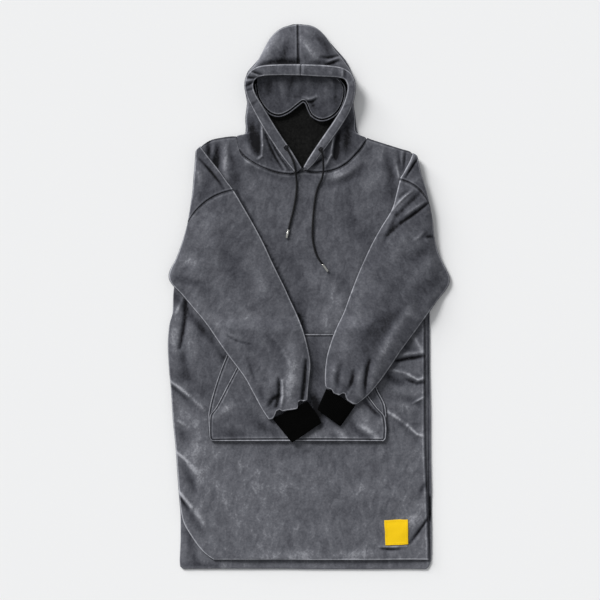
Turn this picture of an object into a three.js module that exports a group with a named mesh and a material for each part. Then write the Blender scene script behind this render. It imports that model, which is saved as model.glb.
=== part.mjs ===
// A long plush hooded pullover with a sleep mask in its hood, laid flat on its back.
// The sleeves are folded across the front, and their cuffs rest on the pocket.
// Millimetres. +Z is up, +Y runs from the hem to the hood, and +X is to the right as it is seen from above.
// The origin is on the floor, under the middle of the laid garment.
import * as THREE from "three";

// Driving sizes
const CLOTH = 4.5; // plush outer and its fleece backing, as one wall
const LINING = 2; // black fleece seen inside the hood
const POCKET_CLOTH = 3;
const RIB_CLOTH = 3.2; // black rib knit of the cuffs
const SEAM_GAP = 0.4; // between two pieces that are sewn edge to edge
const LAYER_GAP = 0.8; // between two cloths that lie on each other
const SLEEVE_GAP = 0.5; // under a sleeve, where two curved cloths meet
const AIR = 2.4; // air between front and back, away from the side seams
const AIR_WIDTH = 70; // how far in from a side seam the front reaches that height
const ROLL = 8; // width of the rounding along a cut or folded edge
const SLEEVE_HEIGHT = 12.6; // both walls of a sleeve and the air in it
const CUFF_HEIGHT = 9;
const POCKET_TOP_Y = -83;
const POCKET_FOOT_Y = -317;
const CORD_RADIUS = 2.2;
const AGLET_RADIUS = 2.7;
const AGLET_LENGTH = 19;
const EYELET_OUTER = 5.4;
const EYELET_INNER = 2.9;
const EYELET_HEIGHT = 1.4;
const BAND_HALF_HEIGHT = 4;
const LABEL_THICK = 1.2;

// Colours
const PLUSH_GREY = 0x55565c;
const LINING_BLACK = 0x17171a;
const RIB_BLACK = 0x0c0c0e;
const CORD_BLACK = 0x111114;
const LABEL_YELLOW = 0xf5c400;
const METAL = 0xb9bab8;
const METAL_DARK = 0x2b2b2e;

// Side seams from the hem to the shoulder tip. The front's lower left corner is tucked back in a curve,
// and the back runs further out than the front there and along the right side.
const SIDES = [
  { y: -600, left: -150, right: 264, backLeft: -281, backRight: 264 },
  { y: -580, left: -205, right: 264, backLeft: -284, backRight: 269 },
  { y: -560, left: -227, right: 264, backLeft: -283, backRight: 270 },
  { y: -527, left: -248, right: 263, backLeft: -282, backRight: 270 },
  { y: -494, left: -266, right: 262, backLeft: -282, backRight: 270 },
  { y: -464, left: -281, right: 261, backLeft: -283, backRight: 270 },
  { y: -430, left: -286, right: 260, backLeft: -285, backRight: 270 },
  { y: -390, left: -289, right: 258, backLeft: -287, backRight: 269 },
  { y: -330, left: -293, right: 256, backLeft: -291, backRight: 268 },
  { y: -270, left: -299, right: 255, backLeft: -297, backRight: 268 },
  { y: -205, left: -303, right: 255, backLeft: -301, backRight: 267 },
  { y: -150, left: -308, right: 255, backLeft: -305, backRight: 266 },
  { y: -105, left: -310, right: 255, backLeft: -306, backRight: 266 },
  { y: -64, left: -307, right: 255, backLeft: -303, backRight: 266 },
  { y: -31, left: -299, right: 256, backLeft: -297, backRight: 266 },
  { y: 5, left: -298, right: 258, backLeft: -296, backRight: 264 },
  { y: 50, left: -291, right: 259, backLeft: -289, backRight: 262 },
  { y: 105, left: -277, right: 257, backLeft: -276, backRight: 260 },
  { y: 165, left: -260, right: 254, backLeft: -259, backRight: 256 },
  { y: 215, left: -253, right: 247, backLeft: -252, backRight: 249 },
  { y: 268, left: -247, right: 237, backLeft: -246, backRight: 238 },
  { y: 323, left: -239, right: 223, backLeft: -238, backRight: 224 },
];

// Neck seam at the front, from the left shoulder to the right one.
const NECK = [
  { x: -159, y: 347 },
  { x: -155, y: 330 },
  { x: -148, y: 315 },
  { x: -129, y: 299 },
  { x: -103, y: 285.5 },
  { x: -67, y: 273.5 },
  { x: -38, y: 270.5 },
  { x: -19, y: 275.5 },
  { x: -11, y: 277 },
  { x: 18, y: 274 },
  { x: 53, y: 279 },
  { x: 82, y: 293.5 },
  { x: 107, y: 318 },
  { x: 120, y: 334 },
  { x: 126.5, y: 347 },
];
const NECK_LEFT_END = 7; // the left hood piece is sewn to the rows up to this one
const NECK_RIGHT_START = 8; // and the right one from this row on
const SHOULDER_LEFT = [
  { x: -239, y: 323 },
  { x: -236, y: 327 },
  { x: -215, y: 341 },
  { x: -187, y: 345 },
  { x: -163, y: 347.5 },
];
const SHOULDER_RIGHT = [
  { x: 131, y: 346.5 },
  { x: 157, y: 339 },
  { x: 200, y: 322 },
  { x: 219, y: 317 },
  { x: 223, y: 315 },
];

// Neck seam at the back, from left to right.
const BACK_NECK = [
  { x: -159, y: 345 },
  { x: -150, y: 342.5 },
  { x: -125, y: 339.5 },
  { x: -90, y: 336 },
  { x: -55, y: 333.5 },
  { x: -17, y: 332.5 },
  { x: 20, y: 333.5 },
  { x: 58, y: 336 },
  { x: 95, y: 340 },
  { x: 118, y: 343 },
  { x: 126.5, y: 345 },
];

// Largest folds of the front: a ridge where height is positive and a crease where it is negative.
const FRONT_FOLDS = [
  { x0: -270, y0: -4, x1: -283, y1: -118, width: 12, height: -3.8 },
  { x0: -291, y0: -24, x1: -299, y1: -140, width: 13, height: 3.2 },
  { x0: -262, y0: -40, x1: -258, y1: -150, width: 20, height: 1.8 },
  { x0: -300, y0: -190, x1: -226, y1: -262, width: 16, height: 3 },
  { x0: -292, y0: -222, x1: -262, y1: -262, width: 15, height: -2.4 },
  { x0: -280, y0: -300, x1: -244, y1: -420, width: 18, height: -2.2 },
  { x0: -250, y0: -308, x1: -238, y1: -400, width: 17, height: 2.4 },
  { x0: -288, y0: -408, x1: -218, y1: -514, width: 15, height: 3.4 },
  { x0: -280, y0: -438, x1: -236, y1: -512, width: 12, height: -2.4 },
  { x0: -262, y0: -486, x1: -208, y1: -570, width: 14, height: 2.6 },
  { x0: 192, y0: -263, x1: 250, y1: -304, width: 13, height: 3 },
  { x0: 204, y0: -298, x1: 250, y1: -322, width: 14, height: -1.8 },
  { x0: 190, y0: -138, x1: 250, y1: -146, width: 12, height: -3 },
  { x0: 186, y0: -158, x1: 248, y1: -174, width: 11, height: 2.8 },
  { x0: 196, y0: -190, x1: 248, y1: -186, width: 12, height: -2.4 },
  { x0: 204, y0: -228, x1: 248, y1: -216, width: 12, height: 2.4 },
  { x0: 259, y0: -484, x1: 226, y1: -534, width: 11, height: -2.4 },
  { x0: 236, y0: -478, x1: 204, y1: -528, width: 16, height: 1.8 },
  { x0: 176, y0: -560, x1: 232, y1: -566, width: 12, height: -2.2 },
  { x0: -216, y0: 334, x1: -216, y1: 302, width: 9, height: -2.6 },
  { x0: -198, y0: 328, x1: -200, y1: 286, width: 10, height: -2.8 },
  { x0: -182, y0: 326, x1: -182, y1: 262, width: 11, height: 3 },
  { x0: 168, y0: 318, x1: 176, y1: 268, width: 13, height: -2.2 },
  { x0: 184, y0: 318, x1: 190, y1: 272, width: 10, height: 2.2 },
];

// Pocket patch: its outline by height, and how far in its slanted mouths cut.
const POCKET_SIDES = [
  { y: -317, left: -219, right: 170, mouthLeft: -219, mouthRight: 170 },
  { y: -290, left: -221, right: 171, mouthLeft: -220, mouthRight: 171 },
  { y: -264, left: -222, right: 171, mouthLeft: -219, mouthRight: 168 },
  { y: -242, left: -219, right: 169, mouthLeft: -205, mouthRight: 150 },
  { y: -200, left: -208, right: 150, mouthLeft: -183, mouthRight: 121 },
  { y: -156, left: -193, right: 138, mouthLeft: -160, mouthRight: 102 },
  { y: -120, left: -178, right: 125, mouthLeft: -142, mouthRight: 87 },
  { y: -83, left: -163, right: 113, mouthLeft: -123, mouthRight: 75 },
];

// Left arm from the shoulder tip to the wrist: its folded edges, and how far the seam line bows up in between.
const ARM_LEFT = [
  { outX: -249, outY: 314, inX: -236, inY: 328, bow: 0 },
  { outX: -250, outY: 300, inX: -220, inY: 308, bow: 0 },
  { outX: -253, outY: 268, inX: -196, inY: 277, bow: 2 },
  { outX: -257, outY: 222, inX: -178, inY: 252, bow: 8 },
  { outX: -267, outY: 162, inX: -165, inY: 235, bow: 15 },
  { outX: -277, outY: 125, inX: -139, inY: 191, bow: 10 },
  { outX: -292, outY: 84, inX: -114, inY: 147, bow: 5 },
  { outX: -304, outY: 62, inX: -96, inY: 112, bow: 0 },
  { outX: -308, outY: 44, inX: -81, inY: 79, bow: 0 },
  { outX: -301, outY: 28, inX: -66, inY: 48, bow: 0 },
  { outX: -281, outY: 7, inX: -53, inY: 22, bow: 0 },
  { outX: -255, outY: -24, inX: -40, inY: -7, bow: 0 },
  { outX: -226, outY: -59, inX: -26, inY: -37, bow: 0 },
  { outX: -200, outY: -97, inX: -12, inY: -73, bow: 0 },
  { outX: -172, outY: -136, inX: -2, inY: -110, bow: 0 },
  { outX: -143, outY: -175, inX: 4, inY: -145, bow: 0 },
  { outX: -122, outY: -213, inX: 2, inY: -176, bow: 0 },
  { outX: -103, outY: -248, inX: -1, inY: -205, bow: 0 },
  { outX: -88, outY: -270, inX: -2, inY: -227, bow: 0 },
];
const ARMHOLE_LEFT = 4; // the row on which the left sleeve is set in

// Right arm, in the same way.
const ARM_RIGHT = [
  { outX: 238, outY: 306, inX: 224, inY: 308, bow: 0 },
  { outX: 243, outY: 294, inX: 218, inY: 292, bow: 0 },
  { outX: 247, outY: 272, inX: 210, inY: 278, bow: 3 },
  { outX: 258, outY: 235, inX: 204, inY: 268, bow: 9 },
  { outX: 269, outY: 188, inX: 199, inY: 259, bow: 15 },
  { outX: 273, outY: 161, inX: 190, inY: 222, bow: 9 },
  { outX: 276, outY: 132, inX: 181, inY: 192, bow: 4 },
  { outX: 284, outY: 99, inX: 158, inY: 154, bow: 0 },
  { outX: 296, outY: 73, inX: 139, inY: 120, bow: 0 },
  { outX: 307, outY: 51, inX: 121, inY: 82, bow: 0 },
  { outX: 310, outY: 35, inX: 109, inY: 55, bow: 0 },
  { outX: 303, outY: 18, inX: 98, inY: 27, bow: 0 },
  { outX: 282, outY: -9, inX: 86, inY: -5, bow: 0 },
  { outX: 260, outY: -40, inX: 75, inY: -35, bow: 0 },
  { outX: 231, outY: -80, inX: 60, inY: -66, bow: 0 },
  { outX: 203, outY: -118, inX: 48, inY: -97, bow: 0 },
  { outX: 179, outY: -154, inX: 39, inY: -128, bow: 0 },
  { outX: 152, outY: -191, inX: 35, inY: -156, bow: 0 },
  { outX: 128, outY: -218, inX: 34, inY: -183, bow: 0 },
  { outX: 104, outY: -237, inX: 36, inY: -198, bow: 0 },
];
const ARMHOLE_RIGHT = 4;

// Largest folds of the sleeves, and the gathers above their cuffs.
const SLEEVE_FOLDS = [
  { x0: 258, y0: 206, x1: 178, y1: 139, width: 11, height: -3.2 },
  { x0: 242, y0: 214, x1: 196, y1: 176, width: 9, height: 2.2 },
  { x0: 236, y0: 232, x1: 194, y1: 190, width: 9, height: -2.2 },
  { x0: 222, y0: 240, x1: 186, y1: 190, width: 9, height: 2 },
  { x0: 250, y0: 139, x1: 230, y1: 116, width: 12, height: 2.4 },
  { x0: 268, y0: 128, x1: 246, y1: 118, width: 11, height: -2.4 },
  { x0: 222, y0: -22, x1: 152, y1: -144, width: 20, height: 1.8 },
  { x0: 132, y0: -150, x1: 124, y1: -214, width: 10, height: -2.6 },
  { x0: 74, y0: -166, x1: 66, y1: -204, width: 9, height: -2 },
  { x0: 96, y0: -176, x1: 86, y1: -226, width: 9, height: -2.6 },
  { x0: -8, y0: -136, x1: -18, y1: -222, width: 7, height: -3.4 },
  { x0: -57, y0: -176, x1: -64, y1: -238, width: 9, height: -3 },
  { x0: -42, y0: -150, x1: -42, y1: -226, width: 13, height: 2.2 },
  { x0: -64, y0: -222, x1: -84, y1: -238, width: 8, height: -2.2 },
  { x0: -132, y0: -134, x1: -117, y1: -182, width: 11, height: -1.6 },
  { x0: -258, y0: 10, x1: -150, y1: -112, width: 20, height: 1.4 },
  { x0: -86, y0: -70, x1: -46, y1: -140, width: 14, height: 1.4 },
];

// Cuffs, from the sleeve's end to the free edge.
const CUFF_LEFT = [
  { outX: -80, outY: -267, inX: -3, inY: -228.5, bow: 0 },
  { outX: -57, outY: -294, inX: 17, inY: -251, bow: 0 },
  { outX: -37, outY: -320, inX: 35, inY: -273, bow: 0 },
];
const CUFF_RIGHT = [
  { outX: 102, outY: -237.5, inX: 38.5, inY: -201, bow: 0 },
  { outX: 86, outY: -261, inX: 28, inY: -224, bow: 0 },
  { outX: 69, outY: -284, inX: 18.5, inY: -247, bow: 0 },
];
const CUFF_RIBS = 26; // all round one cuff
const RIB_RISE = 0.5;

// Drawstring casing round the face opening, from its seam at the top to the neck.
const BAND_LEFT = [
  { x: -23.5, y: 498, width: 26, z: 31.6 },
  { x: -63, y: 498, width: 26, z: 31.9 },
  { x: -99, y: 495, width: 25, z: 31.4 },
  { x: -121, y: 483, width: 23, z: 30.2 },
  { x: -128, y: 464, width: 21, z: 29.2 },
  { x: -123, y: 440, width: 22, z: 27.8 },
  { x: -107, y: 409, width: 25, z: 25.6 },
  { x: -88, y: 374, width: 25, z: 23.2 },
  { x: -68, y: 343, width: 25, z: 20.6 },
  { x: -48, y: 314, width: 25, z: 18.4 },
  { x: -28.5, y: 284.5, width: 21, z: 16.8 },
];
const BAND_RIGHT = [
  { x: -22.9, y: 498, width: 26, z: 31.6 },
  { x: 25, y: 496, width: 27, z: 31.6 },
  { x: 61, y: 493, width: 26, z: 31 },
  { x: 83, y: 483, width: 22, z: 30.2 },
  { x: 93, y: 463, width: 19, z: 29.2 },
  { x: 91, y: 439, width: 20, z: 27.8 },
  { x: 80, y: 409, width: 21, z: 26 },
  { x: 63, y: 381, width: 21, z: 24.2 },
  { x: 45, y: 355, width: 21, z: 22.4 },
  { x: 25, y: 327, width: 20, z: 20 },
  { x: 7, y: 301, width: 18, z: 18 },
  { x: -6, y: 286, width: 15, z: 17 },
];

// Hood sides as spokes from the casing (in) to the outer fold or the neck seam (out).
// rim and foot are the heights of the cloth's upper face at those two ends, and puff what it rises in between.
const HOOD_LEFT = [
  { inX: -23.2, inY: 498, outX: -25, outY: 600.4, rim: 27, foot: 9.4, puff: 5 },
  { inX: -63, inY: 498, outX: -59, outY: 592, rim: 27, foot: 9.4, puff: 5 },
  { inX: -94, inY: 496, outX: -84, outY: 568, rim: 26.6, foot: 9.4, puff: 4 },
  { inX: -113, inY: 489, outX: -111, outY: 517, rim: 26, foot: 9.4, puff: 1 },
  { inX: -124, inY: 473, outX: -134, outY: 490, rim: 25, foot: 9.4, puff: 0 },
  { inX: -126, inY: 451, outX: -138, outY: 460, rim: 23.8, foot: 9.4, puff: 0 },
  { inX: -115, inY: 425, outX: -134, outY: 425, rim: 22, foot: 9.4, puff: 0 },
  { inX: -102, inY: 400, outX: -140, outY: 392, rim: 20.2, foot: 9.4, puff: 1 },
  { inX: -90, inY: 376, outX: -138, outY: 359, rim: 18.6, foot: 9.6, puff: 2 },
  { inX: -81, inY: 363, outX: NECK[0].x, outY: NECK[0].y, rim: 17.4, foot: 10.6, puff: 2 },
  { inX: -72, inY: 350, outX: NECK[1].x, outY: NECK[1].y, rim: 16.4, foot: 11.8, puff: 2 },
  { inX: -63, inY: 336, outX: NECK[2].x, outY: NECK[2].y, rim: 15.4, foot: 12, puff: 2 },
  { inX: -55, inY: 324, outX: NECK[3].x, outY: NECK[3].y, rim: 14.6, foot: 12, puff: 1.5 },
  { inX: -46, inY: 311, outX: NECK[4].x, outY: NECK[4].y, rim: 13.8, foot: 12, puff: 1 },
  { inX: -38, inY: 300, outX: NECK[5].x, outY: NECK[5].y, rim: 13.2, foot: 12, puff: 0.5 },
  { inX: -31, inY: 291, outX: NECK[6].x, outY: NECK[6].y, rim: 12.6, foot: 12, puff: 0 },
  { inX: -25, inY: 286, outX: NECK[7].x, outY: NECK[7].y, rim: 12.4, foot: 12, puff: 0 },
];
const HOOD_RIGHT = [
  { inX: -22.8, inY: 498, outX: -24.6, outY: 600.4, rim: 27, foot: 9.4, puff: 5 },
  { inX: 20, inY: 497, outX: 8, outY: 596, rim: 27, foot: 9.4, puff: 5 },
  { inX: 51, inY: 494, outX: 32, outY: 579, rim: 26.6, foot: 9.4, puff: 4 },
  { inX: 70, inY: 490, outX: 54, outY: 548, rim: 26, foot: 9.4, puff: 2.5 },
  { inX: 83, inY: 482, outX: 77, outY: 519, rim: 25.4, foot: 9.4, puff: 1 },
  { inX: 90, inY: 468, outX: 95, outY: 491, rim: 25, foot: 9.4, puff: 0 },
  { inX: 92, inY: 449, outX: 102, outY: 460, rim: 23.8, foot: 9.4, puff: 0 },
  { inX: 84, inY: 420, outX: 98.5, outY: 427, rim: 22, foot: 9.4, puff: 0 },
  { inX: 73, inY: 400, outX: 103, outY: 394, rim: 20.2, foot: 9.4, puff: 1 },
  { inX: 62, inY: 384, outX: 107, outY: 361, rim: 18.6, foot: 9.6, puff: 2 },
  { inX: 52, inY: 368, outX: NECK[14].x, outY: NECK[14].y, rim: 17.4, foot: 10.6, puff: 2 },
  { inX: 42, inY: 353, outX: NECK[13].x, outY: NECK[13].y, rim: 16.4, foot: 11.8, puff: 2 },
  { inX: 32, inY: 339, outX: NECK[12].x, outY: NECK[12].y, rim: 15.4, foot: 12, puff: 2 },
  { inX: 21, inY: 324, outX: NECK[11].x, outY: NECK[11].y, rim: 14.4, foot: 12, puff: 1 },
  { inX: 12, inY: 310, outX: NECK[10].x, outY: NECK[10].y, rim: 13.4, foot: 12, puff: 0.5 },
  { inX: 3, inY: 299, outX: NECK[9].x, outY: NECK[9].y, rim: 12.6, foot: 12, puff: 0 },
  { inX: -5, inY: 289, outX: NECK[8].x, outY: NECK[8].y, rim: 12.4, foot: 12, puff: 0 },
];

// Under half of the hood, and the lining on it, by height.
const HOOD_BACK = [
  { y: 359, left: -137, right: 106 },
  { y: 392, left: -139, right: 102 },
  { y: 425, left: -133, right: 97.5 },
  { y: 460, left: -137, right: 101 },
  { y: 490, left: -133, right: 94 },
  { y: 519, left: -109, right: 76 },
  { y: 545, left: -95, right: 55.5 },
  { y: 568, left: -83, right: 39.5 },
  { y: 584, left: -69, right: 26 },
  { y: 594, left: -53, right: 11 },
  { y: 600, left: -34, right: -16 },
];
const LINING_ROWS = [
  { y: 380, left: -130, right: 94 },
  { y: 425, left: -124, right: 89 },
  { y: 462, left: -128, right: 92 },
  { y: 488, left: -121, right: 83 },
  { y: 518, left: -100, right: 66 },
  { y: 548, left: -84, right: 45 },
  { y: 574, left: -66, right: 24 },
  { y: 588, left: -44, right: -2 },
];
const LINING_FOOT = [
  { x: -141, y: 338 },
  { x: -137, y: 321 },
  { x: -122, y: 308 },
  { x: -98, y: 294 },
  { x: -65, y: 283 },
  { x: -37, y: 279.5 },
  { x: -18, y: 284 },
  { x: -8, y: 285 },
  { x: 17, y: 283 },
  { x: 49, y: 288 },
  { x: 73, y: 301 },
  { x: 96, y: 323 },
  { x: 108, y: 338 },
];

// Sleep mask: its upper edge under the casing and its lower edge with the notch for the nose.
const MASK = [
  { x: -121, top: 479, foot: 466 },
  { x: -116, top: 486, foot: 449 },
  { x: -106, top: 493, foot: 432 },
  { x: -92, top: 500, foot: 412 },
  { x: -82, top: 502, foot: 402 },
  { x: -72, top: 502, foot: 397.5 },
  { x: -60, top: 502, foot: 397.5 },
  { x: -48, top: 502, foot: 403 },
  { x: -36, top: 502, foot: 411 },
  { x: -25, top: 502, foot: 419 },
  { x: -16, top: 502, foot: 422.4 },
  { x: -9, top: 502, foot: 420 },
  { x: -4, top: 502, foot: 412 },
  { x: 2, top: 502, foot: 401 },
  { x: 10, top: 502, foot: 392 },
  { x: 22, top: 502, foot: 385.5 },
  { x: 36, top: 501, foot: 385 },
  { x: 48, top: 500, foot: 389 },
  { x: 60, top: 494, foot: 398 },
  { x: 71, top: 487, foot: 409 },
  { x: 79, top: 482, foot: 422 },
  { x: 84, top: 472, foot: 440 },
];
const MASK_CLOTH = 4;
const MASK_LOW = 13; // height of the mask's under face at its lower edge
const MASK_LIFT = 5; // and how much higher it is under the casing
const BINDING_HALF_WIDTH = 2.6;
const BINDING_HALF_HEIGHT = 2.2;

// Drawstrings from eyelet to aglet. rise is the cord's clearance over what it lies on.
const CORD_LEFT = [
  { x: -50, y: 328, rise: 2.4 },
  { x: -44, y: 318, rise: 2.4 },
  { x: -37, y: 305, rise: 1.6 },
  { x: -32, y: 291, rise: 1.8 },
  { x: -29, y: 275, rise: 2.2 },
  { x: -27, y: 256, rise: 0.5 },
  { x: -27.5, y: 228, rise: 0.5 },
  { x: -33, y: 195, rise: 0.5 },
  { x: -40, y: 166, rise: 0.5 },
  { x: -44.5, y: 148, rise: 0.5 },
];
const CORD_RIGHT = [
  { x: 26, y: 324, rise: 3.4 },
  { x: 30, y: 313, rise: 5.4 },
  { x: 31.5, y: 298, rise: 2.6 },
  { x: 32, y: 281, rise: 1 },
  { x: 29.5, y: 263, rise: 0.6 },
  { x: 19, y: 238, rise: 0.5 },
  { x: 13.5, y: 213, rise: 0.5 },
  { x: 9.5, y: 175, rise: 0.5 },
  { x: 8, y: 137, rise: 0.5 },
  { x: 11, y: 112, rise: 0.5 },
  { x: 18.5, y: 89, rise: 0.5 },
  { x: 30.5, y: 71.5, rise: 0.5 },
];
const EYELET_LEFT = { x: -50, y: 328 };
const EYELET_RIGHT = { x: 26, y: 324 };
const LABEL = { x: 192.5, y: -517, wide: 51, high: 55 };

const clamp01 = (t) => Math.min(1, Math.max(0, t));
const smooth = (t) => clamp01(t) ** 2 * (3 - 2 * clamp01(t));
const mix = (a, b, t) => a + (b - a) * t;

// Value of a column of a table at a key, on a smooth curve through the rows that never overshoots them.
function readTable(rows, key, at, column) {
  const last = rows.length - 1;
  let i = 0;
  while (i < last - 1 && at > rows[i + 1][key]) i++;
  const gap = (k) => rows[k + 1][key] - rows[k][key];
  const pitch = (k) => (rows[k + 1][column] - rows[k][column]) / gap(k);
  const slope = (k) => {
    if (k === 0) return pitch(0);
    if (k === last) return pitch(last - 1);
    const [before, after] = [pitch(k - 1), pitch(k)];
    if (before * after <= 0) return 0;
    return (2 * before * after) / (before + after);
  };
  const t = clamp01((at - rows[i][key]) / gap(i));
  const curve =
    slope(i) * t * (1 - t) ** 2 * gap(i) -
    slope(i + 1) * t ** 2 * (1 - t) * gap(i);
  return mix(rows[i][column], rows[i + 1][column], smooth(t)) + curve;
}

// The same for a table whose rows are numbered from 0, so that 2.5 lies halfway between the third and fourth.
function readRow(rows, at, column) {
  const i = Math.min(rows.length - 2, Math.max(0, Math.floor(at)));
  const t = at - i;
  const p1 = rows[i][column];
  const p2 = rows[i + 1][column];
  const p0 = i > 0 ? rows[i - 1][column] : 2 * p1 - p2;
  const p3 = i + 2 < rows.length ? rows[i + 2][column] : 2 * p2 - p1;
  const bend = (2 * p0 - 5 * p1 + 4 * p2 - p3) * t * t;
  const twist = (3 * p1 - 3 * p2 + p3 - p0) * t ** 3;
  return (2 * p1 + (p2 - p0) * t + bend + twist) / 2;
}

// Height that the folds of a table add at a point.
function foldsAt(folds, x, y) {
  let sum = 0;
  for (const f of folds) {
    const length2 = (f.x1 - f.x0) ** 2 + (f.y1 - f.y0) ** 2;
    const along = ((x - f.x0) * (f.x1 - f.x0) + (y - f.y0) * (f.y1 - f.y0)) / length2;
    const t = clamp01(along);
    const away = Math.hypot(x - mix(f.x0, f.x1, t), y - mix(f.y0, f.y1, t));
    sum += f.height * Math.exp(-((away / f.width) ** 2));
  }
  return sum;
}

// Share of a wall's half thickness that is left at a distance from its rounded edge.
const EDGE_LEFT = 0.35;
const rounding = (away) => mix(EDGE_LEFT, 1, Math.sqrt(1 - (1 - clamp01(away / ROLL)) ** 2));

// How far a point lies inside the side seams of the front; negative outside.
function insideSides(x, y) {
  const left = readTable(SIDES, "y", y, "left");
  const right = readTable(SIDES, "y", y, "right");
  return Math.min(x - left, right - x);
}

// Under face of the front panel.
function frontUnder(x, y) {
  const air = AIR * smooth(insideSides(x, y) / AIR_WIDTH);
  return CLOTH + LAYER_GAP + Math.max(0, air + foldsAt(FRONT_FOLDS, x, y));
}

// How far a point lies outside the pocket; negative inside.
function outsidePocket(x, y) {
  const left = readTable(POCKET_SIDES, "y", y, "left");
  const right = readTable(POCKET_SIDES, "y", y, "right");
  return Math.max(left - x, x - right, POCKET_FOOT_Y - y, y - POCKET_TOP_Y);
}

// Under face of a sleeve or cuff: it lies on the front and the pocket, and sinks beside the body.
const BESIDE_BODY = 34; // distance over which an overhanging sleeve sinks to the floor
const BESIDE_START = 5; // and how far outside the seam that starts
const FLOOR_GAP = 0.5;
const POCKET_RAMP = 34;
function sleeveUnder(x, y) {
  const beside = smooth((insideSides(x, y) + BESIDE_START + BESIDE_BODY) / BESIDE_BODY);
  const plain = CLOTH + LAYER_GAP + AIR * smooth(insideSides(x, y) / AIR_WIDTH) + CLOTH;
  const front = Math.max(plain, frontUnder(x, y) + CLOTH);
  const pocket = 2 * (POCKET_CLOTH + LAYER_GAP);
  const ramp = 1 - smooth((outsidePocket(x, y) - ROLL) / POCKET_RAMP);
  return mix(FLOOR_GAP, front + SLEEVE_GAP, beside) + pocket * ramp;
}

// Closed wall between two grids of points of the same size, joined round the rim.
function wallSolid(over, under) {
  const [columns, rows] = [over.length, over[0].length];
  const points = [...over.flat(), ...under.flat()];
  const id = (side, i, j) => side * columns * rows + i * rows + j;
  const faces = [];
  const quad = (a, b, c, d) => faces.push(a, b, c, a, c, d);
  for (let i = 0; i < columns - 1; i++)
    for (let j = 0; j < rows - 1; j++) {
      quad(id(0, i, j), id(0, i + 1, j), id(0, i + 1, j + 1), id(0, i, j + 1));
      quad(id(1, i, j), id(1, i, j + 1), id(1, i + 1, j + 1), id(1, i + 1, j));
    }
  for (let i = 0; i < columns - 1; i++) {
    quad(id(0, i, 0), id(1, i, 0), id(1, i + 1, 0), id(0, i + 1, 0));
    const j = rows - 1;
    quad(id(0, i, j), id(0, i + 1, j), id(1, i + 1, j), id(1, i, j));
  }
  for (let j = 0; j < rows - 1; j++) {
    quad(id(0, 0, j), id(0, 0, j + 1), id(1, 0, j + 1), id(1, 0, j));
    const i = columns - 1;
    quad(id(0, i, j), id(1, i, j), id(1, i, j + 1), id(0, i, j + 1));
  }
  return meshGeometry(points, faces);
}

// Closed tube wall between outer and inner rings, open at both ends.
function tubeSolid(outer, inner) {
  const [stations, around] = [outer.length, outer[0].length];
  const points = [...outer.flat(), ...inner.flat()];
  const id = (side, s, j) => (side * stations + s) * around + (j % around);
  const faces = [];
  const quad = (a, b, c, d) => faces.push(a, b, c, a, c, d);
  for (let j = 0; j < around; j++) {
    for (let s = 0; s < stations - 1; s++) {
      quad(id(0, s, j), id(0, s, j + 1), id(0, s + 1, j + 1), id(0, s + 1, j));
      quad(id(1, s, j), id(1, s + 1, j), id(1, s + 1, j + 1), id(1, s, j + 1));
    }
    quad(id(0, 0, j), id(1, 0, j), id(1, 0, j + 1), id(0, 0, j + 1));
    const s = stations - 1;
    quad(id(0, s, j), id(0, s, j + 1), id(1, s, j + 1), id(1, s, j));
  }
  return meshGeometry(points, faces);
}

// Closed rod through rings of points, with flat ends.
function rodSolid(rings) {
  const around = rings[0].length;
  const last = rings.length - 1;
  const faces = [];
  const id = (s, j) => s * around + (j % around);
  for (let j = 0; j < around; j++)
    for (let s = 0; s < last; s++)
      faces.push(
        ...[id(s, j), id(s, j + 1), id(s + 1, j + 1)],
        ...[id(s, j), id(s + 1, j + 1), id(s + 1, j)],
      );
  for (let j = 1; j < around - 1; j++) {
    faces.push(id(0, 0), id(0, j + 1), id(0, j));
    faces.push(id(last, 0), id(last, j), id(last, j + 1));
  }
  return meshGeometry(rings.flat(), faces);
}

// Geometry from points [x, y, z] and triangles, turned right side out.
function meshGeometry(points, faces) {
  let volume = 0;
  for (let k = 0; k < faces.length; k += 3) {
    const [a, b, c] = [points[faces[k]], points[faces[k + 1]], points[faces[k + 2]]];
    volume +=
      a[0] * (b[1] * c[2] - b[2] * c[1]) +
      a[1] * (b[2] * c[0] - b[0] * c[2]) +
      a[2] * (b[0] * c[1] - b[1] * c[0]);
  }
  const geometry = new THREE.BufferGeometry();
  geometry.setAttribute("position", new THREE.Float32BufferAttribute(points.flat(), 3));
  geometry.setIndex(volume < 0 ? [...faces].reverse() : faces);
  geometry.computeVertexNormals();
  return geometry;
}

// Values from 0 to 1 in even steps, with close ones at each end to round the edges.
const END_STEPS = [0.006, 0.018];
function steps(count) {
  const middle = Array.from({ length: count - 1 }, (_, k) => (k + 1) / count);
  return [0, ...END_STEPS, ...middle, ...END_STEPS.map((e) => 1 - e).reverse(), 1];
}

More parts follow.
